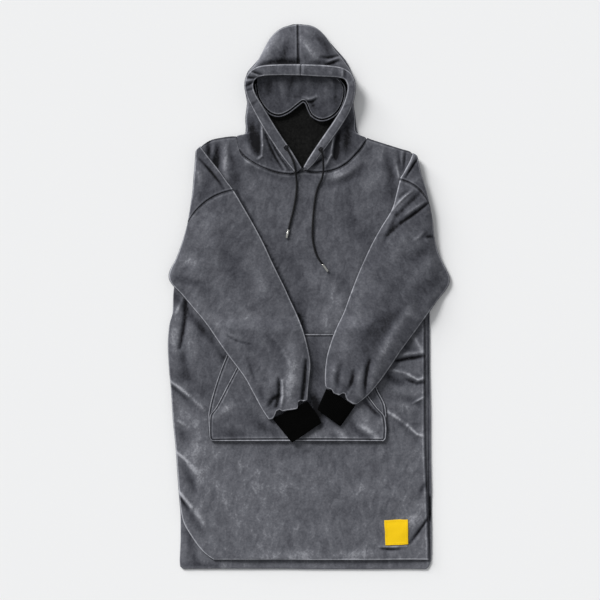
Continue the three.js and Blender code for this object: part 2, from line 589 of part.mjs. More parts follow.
// Panel inside a hem, two side seams and an upper edge, as columns of points [x, y, distance from the edge].
function panelGrid(top, hem, leftColumn, rightColumn, rows) {
  const [footY, headLeft, headRight] = [hem, top[0].y, top[top.length - 1].y];
  const side = (y, column) => readTable(SIDES, "y", y, column);
  const [footLeft, footRight] = [side(footY, leftColumn), side(footY, rightColumn)];
  const width = footRight - footLeft;
  return top.map((head) => {
    const u = (head.x - top[0].x) / (top[top.length - 1].x - top[0].x);
    return rows.map((v) => {
      const leftY = mix(footY, headLeft, v);
      const rightY = mix(footY, headRight, v);
      const sideX = mix(side(leftY, leftColumn), side(rightY, rightColumn), u);
      const straightX = mix(footLeft, footRight, u) * (1 - v) + head.x * v;
      const cornerX =
        mix(footLeft, footRight, u) * (1 - v) + mix(top[0].x, top[top.length - 1].x, u) * v;
      const sideY = mix(leftY, rightY, u);
      const cornerY = footY * (1 - v) + mix(headLeft, headRight, u) * v;
      const y = sideY + footY * (1 - v) + head.y * v - cornerY;
      const across = Math.min(u, 1 - u) * width;
      const along = Math.min(v, 1 - v) * (headLeft - footY);
      return [sideX + straightX - cornerX, y, Math.min(across, along)];
    });
  });
}

const FRONT_HEM = -580;
const BACK_HEM = -600;
const FRONT_ROWS = 28;
const BACK_ROWS = 12;

function frontPanel() {
  const neck = NECK.map((p) => ({ x: p.x, y: p.y - SEAM_GAP }));
  const top = [...SHOULDER_LEFT, ...neck, ...SHOULDER_RIGHT];
  const grid = panelGrid(top, FRONT_HEM, "left", "right", steps(FRONT_ROWS));
  return liftedWall(grid, frontUnder, CLOTH);
}

function backPanel() {
  const neck = BACK_NECK.map((p) => ({ x: p.x, y: p.y - SEAM_GAP }));
  const top = [...SHOULDER_LEFT, ...neck, ...SHOULDER_RIGHT];
  const grid = panelGrid(top, BACK_HEM, "backLeft", "backRight", steps(BACK_ROWS));
  const over = grid.map((column) => column.map(([x, y, away]) => [x, y, CLOTH * rounding(away)]));
  const under = grid.map((column) => column.map(([x, y]) => [x, y, 0]));
  return wallSolid(over, under);
}

// Wall of even thickness whose under face follows a height function, with rounded edges.
function liftedWall(grid, underAt, thick) {
  const face = (sign) =>
    grid.map((column) =>
      column.map(([x, y, away]) => {
        const half = (thick / 2) * rounding(away);
        return [x, y, underAt(x, y) + thick / 2 + sign * half];
      }),
    );
  return wallSolid(face(1), face(-1));
}

// Flat tube along an arm table between two of its rows, with an even wall.
const AROUND_SLEEVE = 24;
function armTube(rows, first, last, count, around, height, wall, ribRise = 0, trim = 0) {
  const rings = (inner) =>
    Array.from({ length: count + 1 }, (_, s) => {
      const end = s === 0 ? trim : s === count ? -trim : 0;
      const at = mix(first, last, s / count);
      const value = (column) => readRow(rows, at, column);
      const out = new THREE.Vector2(value("outX"), value("outY"));
      const inn = new THREE.Vector2(value("inX"), value("inY"));
      const half = inn.clone().sub(out).multiplyScalar(0.5);
      const middle = out.clone().add(half);
      const turn = rows[0].outX < rows[0].inX ? 1 : -1;
      const up = new THREE.Vector2(-half.y, half.x).normalize().multiplyScalar(turn);
      const share = inner ? 1 - (wall * 1.1) / half.length() : 1;
      return Array.from({ length: around }, (_, j) => {
        const angle = (2 * Math.PI * j) / around;
        const across = Math.cos(angle) * share;
        const lift = (value("bow") * (1 - across * across) - end);
        const x = middle.x + half.x * across + up.x * lift;
        const y = middle.y + half.y * across + up.y * lift;
        const full = Math.sqrt(1 - Math.cos(angle) ** 4) * Math.sign(Math.sin(angle) + 1e-9);
        const reach = inner ? height / 2 - wall : height / 2;
        const rib = inner ? 0 : ribRise * (j % 2 ? 1 : -1);
        const crease = inner || full < 0 ? 0 : foldsAt(SLEEVE_FOLDS, x, y) * full;
        const z = sleeveUnder(x, y) + height / 2 + (reach + rib) * full + crease;
        return [x, y, z];
      });
    });
  return tubeSolid(rings(false), rings(true));
}

// Pocket cloths: the backing follows the outline, and the patch over it has the slanted mouths.
function pocketWall(leftColumn, rightColumn, footY, topY, lift) {
  const [across, up] = [steps(10), steps(6)];
  const grid = across.map((u) =>
    up.map((v) => {
      const y = mix(footY, topY, v);
      const left = readTable(POCKET_SIDES, "y", y, leftColumn);
      const right = readTable(POCKET_SIDES, "y", y, rightColumn);
      const away = Math.min(u * (right - left), (1 - u) * (right - left), y - footY, topY - y);
      return [mix(left, right, u), y, away];
    }),
  );
  return liftedWall(grid, (x, y) => frontUnder(x, y) + CLOTH + lift, POCKET_CLOTH);
}

// Side of the hood: a wall along its spokes.
const ALONG_SPOKE = [0, 0.04, 0.12, 0.28, 0.48, 0.7, 0.9, 1];
const CROWN_SPOKES = 8; // the first spokes, with a smooth one between each two
function hoodSide(table) {
  const spokeAt = (at) =>
    Object.fromEntries(Object.keys(table[0]).map((column) => [column, readRow(table, at, column)]));
  const rows = table.flatMap((spoke, k) => (k < CROWN_SPOKES ? [spoke, spokeAt(k + 0.5)] : [spoke]));
  const face = (sign) =>
    rows.map((spoke) =>
      ALONG_SPOKE.map((t) => {
        const length = Math.hypot(spoke.inX - spoke.outX, spoke.inY - spoke.outY);
        const reach = mix(SEAM_GAP / length, 1, t);
        const rise = Math.sin((Math.PI / 2) * t) ** 0.8;
        const middle = mix(spoke.foot, spoke.rim, rise) + spoke.puff * Math.sin(Math.PI * t);
        const half = (CLOTH / 2) * rounding(t * length);
        return [
          mix(spoke.outX, spoke.inX, reach),
          mix(spoke.outY, spoke.inY, reach),
          middle - CLOTH / 2 + sign * half,
        ];
      }),
    );
  return wallSolid(face(1), face(-1));
}

// Casing, binding or other flat roll along a table of points with width and height.
const AROUND_ROLL = 10;
function rollAlong(rows, halfWidth, halfHeight, count) {
  const point = (at) => new THREE.Vector3(...["x", "y", "z"].map((c) => readRow(rows, at, c)));
  const last = rows.length - 1;
  const rings = Array.from({ length: count + 1 }, (_, s) => {
    const at = (s / count) * last;
    const centre = point(at);
    const ahead = point(Math.min(last, at + 0.1)).sub(point(Math.max(0, at - 0.1)));
    const side = new THREE.Vector2(-ahead.y, ahead.x).normalize().multiplyScalar(halfWidth(at));
    return Array.from({ length: AROUND_ROLL }, (_, j) => {
      const angle = (2 * Math.PI * j) / AROUND_ROLL;
      const across = Math.cos(angle);
      const full = Math.sign(Math.sin(angle) + 1e-9) * Math.sqrt(1 - Math.abs(across) ** 3);
      return [centre.x + side.x * across, centre.y + side.y * across, centre.z + halfHeight * full];
    });
  });
  return rodSolid(rings);
}

function hoodBand(rows) {
  return rollAlong(rows, (at) => readRow(rows, at, "width") / 2, BAND_HALF_HEIGHT, 18);
}

// Flat cloth by rows, from a shaped lower edge up: it lies on the floor or on a cloth under it.
function rowsWall(foot, rows, base, thick) {
  const last = foot.length - 1;
  const levels = [null, ...rows];
  const grid = foot.map((point, i) => {
    const u = (point.x - foot[0].x) / (foot[last].x - foot[0].x);
    return levels.map((row, j) => {
      const away = Math.min(i, last - i, j, levels.length - 1 - j) ? ROLL : 0;
      return row ? [mix(row.left, row.right, u), row.y, away] : [point.x, point.y, away];
    });
  });
  const over = grid.map((c) => c.map(([x, y, away]) => [x, y, base + thick * rounding(away)]));
  const under = grid.map((c) => c.map(([x, y]) => [x, y, base]));
  return wallSolid(over, under);
}

const maskUnder = (y) => MASK_LOW + MASK_LIFT * smooth((y - 440) / 60);

function eyeMask() {
  const up = [0, 0.03, 0.12, 0.35, 0.65, 0.9, 1];
  const grid = MASK.map((row, i) =>
    up.map((v) => {
      const y = mix(row.foot, row.top, v);
      const sideways = Math.min(i, MASK.length - 1 - i) * ROLL;
      return [row.x, y, Math.min(sideways, v * (row.top - row.foot))];
    }),
  );
  return liftedWall(grid, (x, y) => maskUnder(y), MASK_CLOTH);
}

// Rolled binding along the mask's lower edge, just outside it.
function maskBinding() {
  const away = BINDING_HALF_WIDTH + LAYER_GAP;
  const rows = MASK.map((row, i) => {
    const before = MASK[Math.max(0, i - 1)];
    const after = MASK[Math.min(MASK.length - 1, i + 1)];
    const along = new THREE.Vector2(after.x - before.x, after.foot - before.foot).normalize();
    const [x, y] = [row.x + along.y * away, row.foot - along.x * away];
    return { x, y, z: maskUnder(row.foot) + MASK_CLOTH / 2 };
  });
  return rollAlong(rows, () => BINDING_HALF_WIDTH, BINDING_HALF_HEIGHT, 32);
}

// Height of the casing's upper face beside a point, at its centre line and falling off to its edges.
function bandTop(rows, x, y) {
  let best = { away: Infinity };
  for (let at = 0; at <= rows.length - 1; at += 0.05) {
    const away = Math.hypot(x - readRow(rows, at, "x"), y - readRow(rows, at, "y"));
    if (away < best.away) best = { away, at };
  }
  const across = Math.min(1, best.away / (readRow(rows, best.at, "width") / 2));
  return readRow(rows, best.at, "z") + BAND_HALF_HEIGHT * Math.sqrt(1 - across ** 3);
}

const CORD_STEPS = 24;
const CORD_LANDS_Y = 254; // where the cord, coming down from the hood, lies on the front
const CORD_DROP = 24; // and the length over which it comes down
function cordPath(rows, band) {
  return new THREE.CatmullRomCurve3(
    rows.map((row) => {
      const onBand = bandTop(band, row.x, row.y);
      const onFront = frontUnder(row.x, row.y) + CLOTH;
      const ground = mix(onFront, onBand, smooth((row.y - CORD_LANDS_Y) / CORD_DROP));
      return new THREE.Vector3(row.x, row.y, ground + CORD_RADIUS + row.rise);
    }),
    false,
    "centripetal",
  );
}

function cordSolid(path) {
  const section = new THREE.Shape();
  for (let k = 0; k <= 8; k++) {
    const angle = (Math.PI * k) / 4;
    const [x, y] = [CORD_RADIUS * Math.cos(angle), CORD_RADIUS * Math.sin(angle)];
    if (k) section.lineTo(x, y);
    else section.moveTo(x, y);
  }
  return new THREE.ExtrudeGeometry(section, {
    steps: CORD_STEPS,
    bevelEnabled: false,
    extrudePath: path,
  });
}

const colour = (hex, roughness, metalness = 0) =>
  new THREE.MeshStandardMaterial({ color: hex, roughness, metalness });
const MATERIALS = {
  plush: colour(PLUSH_GREY, 0.9),
  lining: colour(LINING_BLACK, 0.95),
  rib: colour(RIB_BLACK, 0.95),
  cord: colour(CORD_BLACK, 0.8),
  label: colour(LABEL_YELLOW, 0.6),
  metal: colour(METAL, 0.3, 1),
  metalDark: colour(METAL_DARK, 0.4, 1),
};

const garment = new THREE.Group();
function add(name, geometry, material) {
  const mesh = new THREE.Mesh(geometry, material);
  mesh.name = name;
  garment.add(mesh);
  return mesh;
}

add("back_panel", backPanel(), MATERIALS.plush);
add("front_panel", frontPanel(), MATERIALS.plush);

// Pocket backing and patch
const backingLift = LAYER_GAP;
const patchLift = 2 * LAYER_GAP + POCKET_CLOTH;
const PATCH_SHY = 4; // the patch's foot lies this far inside the backing's
add(
  "pocket_backing",
  pocketWall("left", "right", POCKET_FOOT_Y, POCKET_TOP_Y, backingLift),
  MATERIALS.plush,
);
add(
  "pocket_patch",
  pocketWall("mouthLeft", "mouthRight", POCKET_FOOT_Y + PATCH_SHY, POCKET_TOP_Y - 1, patchLift),
  MATERIALS.plush,
);

// Dropped shoulders, sleeves and cuffs
const HALF_SEAM = SEAM_GAP / 2;
function addArm(side, rows, armhole, cuffRows) {
  const wrist = rows.length - 1;
  const shoulder = armTube(rows, 0, armhole, 5, AROUND_SLEEVE, SLEEVE_HEIGHT, CLOTH, 0, HALF_SEAM);
  const sleeve = armTube(
    rows, armhole, wrist, 17, AROUND_SLEEVE, SLEEVE_HEIGHT, CLOTH, 0, HALF_SEAM,
  );
  const cuff = armTube(
    cuffRows, 0, 2, 2, 2 * CUFF_RIBS, CUFF_HEIGHT, RIB_CLOTH, RIB_RISE,
  );
  add("shoulder_" + side, shoulder, MATERIALS.plush);
  add("sleeve_" + side, sleeve, MATERIALS.plush);
  add("cuff_" + side, cuff, MATERIALS.rib);
}
addArm("left", ARM_LEFT, ARMHOLE_LEFT, CUFF_LEFT);
addArm("right", ARM_RIGHT, ARMHOLE_RIGHT, CUFF_RIGHT);

// Hood
const FOOT_SHARE = 0.985; // the hood's back is a little narrower than the neck it is sewn to
const hoodFoot = BACK_NECK.map((p) => ({ x: p.x * FOOT_SHARE, y: p.y }));
add("hood_back", rowsWall(hoodFoot, HOOD_BACK, 0, CLOTH), MATERIALS.plush);
add(
  "hood_lining",
  rowsWall(LINING_FOOT, LINING_ROWS, CLOTH + SEAM_GAP, LINING),
  MATERIALS.lining,
);
add("hood_left", hoodSide(HOOD_LEFT), MATERIALS.plush);
add("hood_right", hoodSide(HOOD_RIGHT), MATERIALS.plush);
add("hood_band_left", hoodBand(BAND_LEFT), MATERIALS.plush);
add("hood_band_right", hoodBand(BAND_RIGHT), MATERIALS.plush);
add("eye_mask", eyeMask(), MATERIALS.plush);
add("mask_binding", maskBinding(), MATERIALS.plush);

// Eyelets, drawstrings and their metal ends
function addDrawstring(side, eyelet, rows, band) {
  const profile = [
    [EYELET_INNER, 0],
    [EYELET_OUTER, 0],
    [EYELET_OUTER, EYELET_HEIGHT],
    [EYELET_INNER, EYELET_HEIGHT],
    [EYELET_INNER, 0],
  ].map(([x, y]) => new THREE.Vector2(x, y));
  const ring = add("eyelet_" + side, new THREE.LatheGeometry(profile, 16), MATERIALS.metalDark);
  ring.rotation.x = Math.PI / 2;
  ring.position.set(eyelet.x, eyelet.y, bandTop(band, eyelet.x, eyelet.y) + LAYER_GAP);
  const path = cordPath(rows, band);
  add("cord_" + side, cordSolid(path), MATERIALS.cord);
  const end = path.getPoint(1);
  const ahead = path.getTangent(1);
  const tip = add(
    "aglet_" + side,
    new THREE.CylinderGeometry(AGLET_RADIUS, AGLET_RADIUS, AGLET_LENGTH, 12),
    MATERIALS.metal,
  );
  ahead.setZ(0).normalize();
  tip.quaternion.setFromUnitVectors(new THREE.Vector3(0, 1, 0), ahead);
  tip.position.copy(end).addScaledVector(ahead, AGLET_LENGTH / 2 + SEAM_GAP);
  tip.position.z += AGLET_RADIUS - CORD_RADIUS;
}
addDrawstring("left", EYELET_LEFT, CORD_LEFT, BAND_LEFT);
addDrawstring("right", EYELET_RIGHT, CORD_RIGHT, BAND_RIGHT);

// Woven label near the hem
const QUARTERS = [0, 0.25, 0.5, 0.75, 1];
const labelGrid = QUARTERS.map((u) =>
  QUARTERS.map((v) => [
    LABEL.x + (u - 0.5) * LABEL.wide,
    LABEL.y + (v - 0.5) * LABEL.high,
    ROLL,
  ]),
);
add(
  "label",
  liftedWall(labelGrid, (x, y) => frontUnder(x, y) + CLOTH + LAYER_GAP, LABEL_THICK),
  MATERIALS.label,
);

export default garment;
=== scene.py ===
# %% [markdown]
# # A long plush hoodie, laid flat
#
# The real garment is cut from short-pile plush that is backed with fleece. Here it lies on its back, with
# its sleeves folded over the front and a sleep mask hanging in the hood. A frame of plain solids is loaded
# first. Each later step makes one cloth piece as a thin shell on its solid's form, with folds and seams,
# and lets it stand for that solid. Sizes are in millimetres until a mesh is made, because that is how a
# pattern is drafted.

# %% Load the frame
import math

import bpy
import numpy as np
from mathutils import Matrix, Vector, noise


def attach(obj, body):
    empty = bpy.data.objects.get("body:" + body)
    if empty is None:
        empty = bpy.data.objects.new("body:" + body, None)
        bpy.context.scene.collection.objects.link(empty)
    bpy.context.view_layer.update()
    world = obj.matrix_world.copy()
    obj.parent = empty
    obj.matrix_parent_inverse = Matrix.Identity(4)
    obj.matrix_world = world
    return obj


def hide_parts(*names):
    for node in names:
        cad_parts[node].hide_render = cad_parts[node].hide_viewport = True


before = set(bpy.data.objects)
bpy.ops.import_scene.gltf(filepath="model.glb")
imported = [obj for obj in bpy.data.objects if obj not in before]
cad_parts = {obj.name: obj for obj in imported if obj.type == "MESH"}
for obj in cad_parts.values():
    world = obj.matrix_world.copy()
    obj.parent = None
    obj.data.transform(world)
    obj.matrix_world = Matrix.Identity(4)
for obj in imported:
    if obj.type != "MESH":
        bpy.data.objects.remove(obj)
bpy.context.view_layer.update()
MM = 0.001
print("solids in the frame:", len(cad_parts))

# %% [markdown]
# ## Camera
#
# The picture is taken straight down, from far enough away that nothing looks tilted. A camera with no
# rotation already looks down with +Y upwards, so only its place and its lens are needed. The lens follows
# from the width of floor that the square picture shows.

# %% Camera
PICTURE_WIDTH = 1.32
CAMERA_HEIGHT = 9.0
PICTURE_MIDDLE = (-0.0194, -0.0066)

camera_data = bpy.data.cameras.new("camera")
camera_data.sensor_width = 36.0
camera_data.lens = camera_data.sensor_width * CAMERA_HEIGHT / PICTURE_WIDTH
camera = bpy.data.objects.new("camera", camera_data)
camera.location = (*PICTURE_MIDDLE, CAMERA_HEIGHT)
bpy.context.scene.collection.objects.link(camera)
bpy.context.scene.camera = camera
print("lens in mm:", round(camera_data.lens, 1))

# %% [markdown]
# ## Colours and shader nodes
#
# Cloth colours are picked as sRGB hex values, and Blender's shaders want linear numbers, so one function
# turns them. A second one adds a node with its settings and its links in a single call. The plain cloths
# all end alike, with a colour picked by a shade, relief from a height and the shader, so they share that.

# %% Colour and node helpers
def linear(hex_colour):
    values = [int(hex_colour[i : i + 2], 16) / 255 for i in (1, 3, 5)]
    return (*[v / 12.92 if v <= 0.04045 else ((v + 0.055) / 1.055) ** 2.4 for v in values], 1.0)


def add_node(tree, kind, sockets=None, **settings):
    made = tree.nodes.new(kind)
    for name, value in settings.items():
        setattr(made, name, value)
    for name, value in (sockets or {}).items():
        if isinstance(value, bpy.types.NodeSocket):
            tree.links.new(value, made.inputs[name])
        else:
            made.inputs[name].default_value = value
    return made


# %% Material helpers
def new_material(name):
    material = bpy.data.materials.new(name)
    material.use_nodes = True
    material.node_tree.nodes.clear()
    return material, material.node_tree


def noise_scale(size_mm):
    """Scale of a noise whose lumps are about that many millimetres across."""
    return 1 / (size_mm * MM)


def ramp_colours(ramp, stops):
    ramp.elements[0].position, ramp.elements[0].color = stops[0][0], linear(stops[0][1])
    ramp.elements[1].position, ramp.elements[1].color = stops[-1][0], linear(stops[-1][1])
    for position, colour in stops[1:-1]:
        ramp.elements.new(position).color = linear(colour)


def end_in_shader(tree, sockets):
    shader = add_node(tree, "ShaderNodeBsdfPrincipled", sockets)
    add_node(tree, "ShaderNodeOutputMaterial", {"Surface": shader.outputs["BSDF"]})


def finish_cloth(tree, shade, stops, height, strength, depth_mm, surface):
    """Colour stops picked by a shade, and relief of a depth from a height, on a shader."""
    ramp = add_node(tree, "ShaderNodeValToRGB", {"Fac": shade})
    ramp_colours(ramp.color_ramp, stops)
    relief = add_node(
        tree, "ShaderNodeBump", {"Height": height, "Strength": strength, "Distance": depth_mm * MM}
    ).outputs["Normal"]
    end_in_shader(tree, {"Base Color": ramp.outputs["Color"], "Normal": relief, **surface})


# %% [markdown]
# ## Plush
#
# Short-pile plush is a knitted polyester cloth whose surface is a dense pile of cut fibres 2 to 3 mm long.
# Hands and folding lay the pile in different directions, so it shows lighter and darker patches and brush
# marks, and its edges glow because the fibre tips catch light there. The sheen lobe gives part of that
# glow, and a painted highlight, mixed in where the surface turns edge-on, gives the rest. Three noises, at
# the size of a palm, of a brush stroke and of a tuft, give the patches and the relief. A piece can also
# carry a number
# called painted_light at its points: painted highlight that makes ridges and folded edges lighter, and
# painted shade that makes troughs and seams darker.

# %% Plush material
PATCH_MM = 46.0
STROKE_MM = 15.0
TUFT_MM = 4.6  # drawn coarser than the real pile so that it shows from a step away
STROKE_STRETCH = 0.55
STROKE_SHARE = 0.6
TUFT_SHARE = 0.34
PAINTED_LIGHT_SHARE = 0.34  # how far the painted light of a full ridge or trough moves the shade
# colour of the painted highlight that is mixed in on rims
RIM_GLOW = "#9b9ca3"
RIM_BLEND, RIM_POWER = 0.3, 1.6  # how narrow the glowing rim is
SHEEN_TINT = "#d4d5db"
# The darkest and lightest stops are reached mostly through painted shade and painted highlight.
CHARCOAL = [
    (0.14, "#131316"),
    (0.36, "#3f4046"),
    (0.47, "#4e4f55"),
    (0.53, "#57585e"),
    (0.64, "#68696f"),
    (0.86, "#a5a6ac"),
]


def plush(name, nap_degrees, shift_mm):
    """Plush whose brush marks run in one direction. shift_mm moves the patches, so that pieces differ."""
    material, tree = new_material(name)
    where = add_node(tree, "ShaderNodeTexCoord").outputs["Object"]
    shift = (shift_mm * MM, shift_mm * MM, 0)
    nap = (0, 0, math.radians(nap_degrees))
    turned_to_nap = add_node(
        tree, "ShaderNodeMapping", {"Vector": where, "Location": shift, "Rotation": nap}
    ).outputs["Vector"]
    stretched = add_node(
        tree, "ShaderNodeMapping", {"Vector": turned_to_nap, "Scale": (1, STROKE_STRETCH, 1)}
    ).outputs["Vector"]
    noises = []
    for vector, size_mm, detail, roughness, distortion in (
        (turned_to_nap, PATCH_MM, 7, 0.58, 0.5),
        (stretched, STROKE_MM, 6, 0.5, 0.8),
        (where, TUFT_MM, 3, 0.7, 0.0),
    ):
        sockets = {"Vector": vector, "Scale": noise_scale(size_mm), "Detail": detail}
        sockets |= {"Roughness": roughness, "Distortion": distortion}
        noises.append(add_node(tree, "ShaderNodeTexNoise", sockets).outputs["Fac"])
    patches, strokes, tufts = noises
    mottled = patches
    for share, other in ((STROKE_SHARE, strokes), (TUFT_SHARE, tufts)):
        mottled = add_node(
            tree, "ShaderNodeMix", {"Factor": share, "A": mottled, "B": other}
        ).outputs["Result"]
    # painted light that a piece carries: painted highlight on ridges and folded edges, painted shade in
    # troughs and seams
    painted_light = add_node(tree, "ShaderNodeAttribute", attribute_name="painted_light").outputs["Fac"]
    shade = add_node(
        tree, "ShaderNodeMath", {0: painted_light, 1: PAINTED_LIGHT_SHARE, 2: mottled}, operation="MULTIPLY_ADD"
    ).outputs[0]
    ramp = add_node(tree, "ShaderNodeValToRGB", {"Fac": shade})
    ramp_colours(ramp.color_ramp, CHARCOAL)
    # painted highlight: a lighter colour mixed in where the surface turns edge-on, stronger where the
    # painted light is high
    facing = add_node(tree, "ShaderNodeLayerWeight", {"Blend": RIM_BLEND}).outputs["Facing"]
    rim = add_node(tree, "ShaderNodeMath", {0: facing, 1: RIM_POWER}, operation="POWER").outputs[0]
    glow = add_node(
        tree, "ShaderNodeMath", {0: rim, 1: painted_light, 2: rim}, operation="MULTIPLY_ADD", use_clamp=True
    ).outputs[0]
    rim_highlight_mix = {0: glow, 6: ramp.outputs["Color"], 7: linear(RIM_GLOW)}
    rim_highlighted = add_node(tree, "ShaderNodeMix", rim_highlight_mix, data_type="RGBA").outputs[2]
    relief = None
    for height, strength, depth_mm in ((strokes, 0.35, 1.2), (tufts, 0.55, 0.7)):
        sockets = {"Height": height, "Strength": strength, "Distance": depth_mm * MM}
        if relief:
            sockets["Normal"] = relief
        relief = add_node(tree, "ShaderNodeBump", sockets).outputs["Normal"]
    surface = {"Base Color": rim_highlighted, "Normal": relief, "Roughness": 0.92, "Specular IOR Level": 0.15}
    sheen = {"Sheen Weight": 0.35, "Sheen Roughness": 0.35, "Sheen Tint": linear(SHEEN_TINT)}
    end_in_shader(tree, surface | sheen)
    return material


BODY_PLUSH = plush("plush, body", 8, 0)
POCKET_PLUSH = plush("plush, pocket", -14, 230)
LEFT_ARM_PLUSH = plush("plush, left arm", 32, 420)
RIGHT_ARM_PLUSH = plush("plush, right arm", -30, 660)
HOOD_PLUSH = plush("plush, hood", -6, 910)
print("plush materials:", [material.name for material in bpy.data.materials])

# %% [markdown]
# ## Fleece lining, rib knit, cord, label and metal
#
# The lining is brushed polyester fleece: matt, with soft pills. The cuffs are a 2 by 2 cotton rib with
# elastane, whose ribs are modelled and whose knit loops are relief along each rib. The drawcord is a round
# braid, so its relief is two families of strands that wind opposite ways round the cord. The label is woven
# satin, the eyelets are blackened brass, and the cord ends are plated steel sleeves.

# %% Fleece and thread
def soft_cloth(name, dark, light, lump_mm, relief_mm, sheen):
    """Brushed or spun cloth with soft lumps of one size."""
    material, tree = new_material(name)
    where = add_node(tree, "ShaderNodeTexCoord").outputs["Object"]
    sockets = {"Vector": where, "Scale": noise_scale(lump_mm), "Detail": 5, "Roughness": 0.65}
    lumps = add_node(tree, "ShaderNodeTexNoise", sockets).outputs["Fac"]
    matt = {"Roughness": 0.95, "Specular IOR Level": 0.12, "Sheen Weight": sheen, "Sheen Roughness": 0.5}
    finish_cloth(tree, lumps, [(0.35, dark), (0.7, light)], lumps, 0.6, relief_mm, matt)
    return material


LINING_FLEECE = soft_cloth("brushed fleece, black", "#060606", "#191918", 5.0, 1.0, 0.06)
GREY_THREAD = soft_cloth("polyester thread, grey", "#2c2d31", "#4a4b50", 0.5, 0.1, 0.2)
OCHRE_THREAD = soft_cloth("polyester thread, ochre", "#b98a04", "#e0ae10", 0.5, 0.1, 0.2)

# %% Rib knit and braid
def map_along(tree):
    """The piece's own map: u goes once round it, and v is millimetres along it."""
    uv = add_node(tree, "ShaderNodeUVMap", uv_map="along").outputs["UV"]
    return add_node(tree, "ShaderNodeSeparateXYZ", {"Vector": uv}).outputs


def rib_knit(name, dark, light, rows_each_mm):
    """Knit whose rows of loops cross the ribs, with a little fuzz."""
    material, tree = new_material(name)
    phase = {0: map_along(tree)["Y"], 1: 2 * math.pi * rows_each_mm}
    rows = add_node(tree, "ShaderNodeMath", phase, operation="MULTIPLY").outputs[0]
    wave = add_node(tree, "ShaderNodeMath", {0: rows}, operation="SINE").outputs[0]
    where = add_node(tree, "ShaderNodeTexCoord").outputs["Object"]
    sockets = {"Vector": where, "Scale": noise_scale(1.5), "Detail": 3}
    fuzz = add_node(tree, "ShaderNodeTexNoise", sockets).outputs["Fac"]
    loops = add_node(
        tree, "ShaderNodeMath", {0: wave, 1: 0.3, 2: fuzz}, operation="MULTIPLY_ADD"
    ).outputs[0]
    matt = {"Roughness": 0.9, "Specular IOR Level": 0.03}
    finish_cloth(tree, fuzz, [(0.3, dark), (0.75, light)], loops, 0.5, 0.4, matt)
    return material


def braid(name, dark, light, strands, lay_mm):
    """Round braid: strands wind both ways round the cord and cross."""
    material, tree = new_material(name)
    split = map_along(tree)
    around, onward = (
        add_node(tree, "ShaderNodeMath", {0: split[axis], 1: each}, operation="MULTIPLY").outputs[0]
        for axis, each in (("X", 2 * math.pi * strands), ("Y", 2 * math.pi / lay_mm))
    )
    waves = []
    for operation in ("ADD", "SUBTRACT"):
        phase = add_node(tree, "ShaderNodeMath", {0: around, 1: onward}, operation=operation).outputs[0]
        waves.append(add_node(tree, "ShaderNodeMath", {0: phase}, operation="SINE").outputs[0])
    crossing = {0: waves[0], 1: waves[1]}
    height = add_node(tree, "ShaderNodeMath", crossing, operation="MAXIMUM").outputs[0]
    satin = {"Roughness": 0.6, "Specular IOR Level": 0.15, "Sheen Weight": 0.03}
    finish_cloth(tree, height, [(0.0, dark), (0.9, light)], height, 0.7, 0.35, satin)
    return material


RIB_KNIT = rib_knit("cotton rib knit, black", "#020202", "#070707", 0.55)
DRAWCORD = braid("polyester braid, black", "#050506", "#1a1a1d", 4, 3.6)

# %% Woven label and metal
WAVE_UNIT = 2 * math.pi / 20  # a wave texture of scale 1 repeats each 2 pi / 20 metres


def satin_weave(name, dark, light, thread_mm):
    """Satin weave: long warp floats side by side, crossed by fine weft lines."""
    material, tree = new_material(name)
    where = add_node(tree, "ShaderNodeTexCoord").outputs["Object"]
    warp, weft = (
        add_node(
            tree,
            "ShaderNodeTexWave",
            {"Vector": where, "Scale": WAVE_UNIT * noise_scale(size_mm), "Distortion": uneven},
            bands_direction=axis,
        ).outputs["Fac"]
        for axis, size_mm, uneven in (("X", thread_mm, 0.6), ("Y", 1.6 * thread_mm, 0.8))
    )
    weave = add_node(tree, "ShaderNodeMix", {"Factor": 0.4, "A": warp, "B": weft}).outputs["Result"]
    satin = {"Roughness": 0.5, "Specular IOR Level": 0.15, "Sheen Weight": 0.02}
    finish_cloth(tree, weave, [(0.15, dark), (0.7, light)], weave, 0.4, 0.25, satin)
    return material


def plated_metal(name, colour, roughness):
    """Plated metal, rubbed a little brighter and duller in spots."""
    material, tree = new_material(name)
    where = add_node(tree, "ShaderNodeTexCoord").outputs["Object"]
    sockets = {"Vector": where, "Scale": noise_scale(1.2), "Detail": 4}
    rubbed = add_node(tree, "ShaderNodeTexNoise", sockets).outputs["Fac"]
    limits = {"Value": rubbed, "To Min": roughness * 0.8, "To Max": roughness * 1.5}
    gloss = add_node(tree, "ShaderNodeMapRange", limits).outputs["Result"]
    end_in_shader(tree, {"Base Color": linear(colour), "Metallic": 1.0, "Roughness": gloss})
    return material


LABEL_SATIN = satin_weave("woven satin, yellow", "#e8b702", "#ffd61a", 1.2)
NICKEL_PLATE = plated_metal("nickel plate", "#c9c8c2", 0.2)
BLACKENED_BRASS = plated_metal("blackened brass", "#3a3a3d", 0.32)
print("all materials:", len(bpy.data.materials))

# %% [markdown]
# ## Tables and curves
#
# A pattern maker draws an outline through a few measured points. Each table below holds such points, with
# a name for each column, and two functions draw smooth curves through them: one by row number, for lines
# that turn back on themselves, and one by a key such as the height up the garment, which never swings
# out past its points.

# %% Table helpers
def table(columns, *rows):
    return {name: np.array([row[k] for row in rows], float) for k, name in enumerate(columns.split())}


def count_rows(rows):
    return len(next(iter(rows.values())))


def along(rows, at, column):
    """A column at row numbers, which may lie between two rows."""
    p = rows[column]
    p = np.concatenate([[2 * p[0] - p[1]], p, [2 * p[-1] - p[-2]]])
    i = np.clip(np.floor(at).astype(int), 0, len(p) - 4)
    t = at - i
    a, b, c, d = p[i], p[i + 1], p[i + 2], p[i + 3]
    bend = (2 * a - 5 * b + 4 * c - d) * t**2
    twist = (3 * b - 3 * c + d - a) * t**3
    return (2 * b + (c - a) * t + bend + twist) / 2


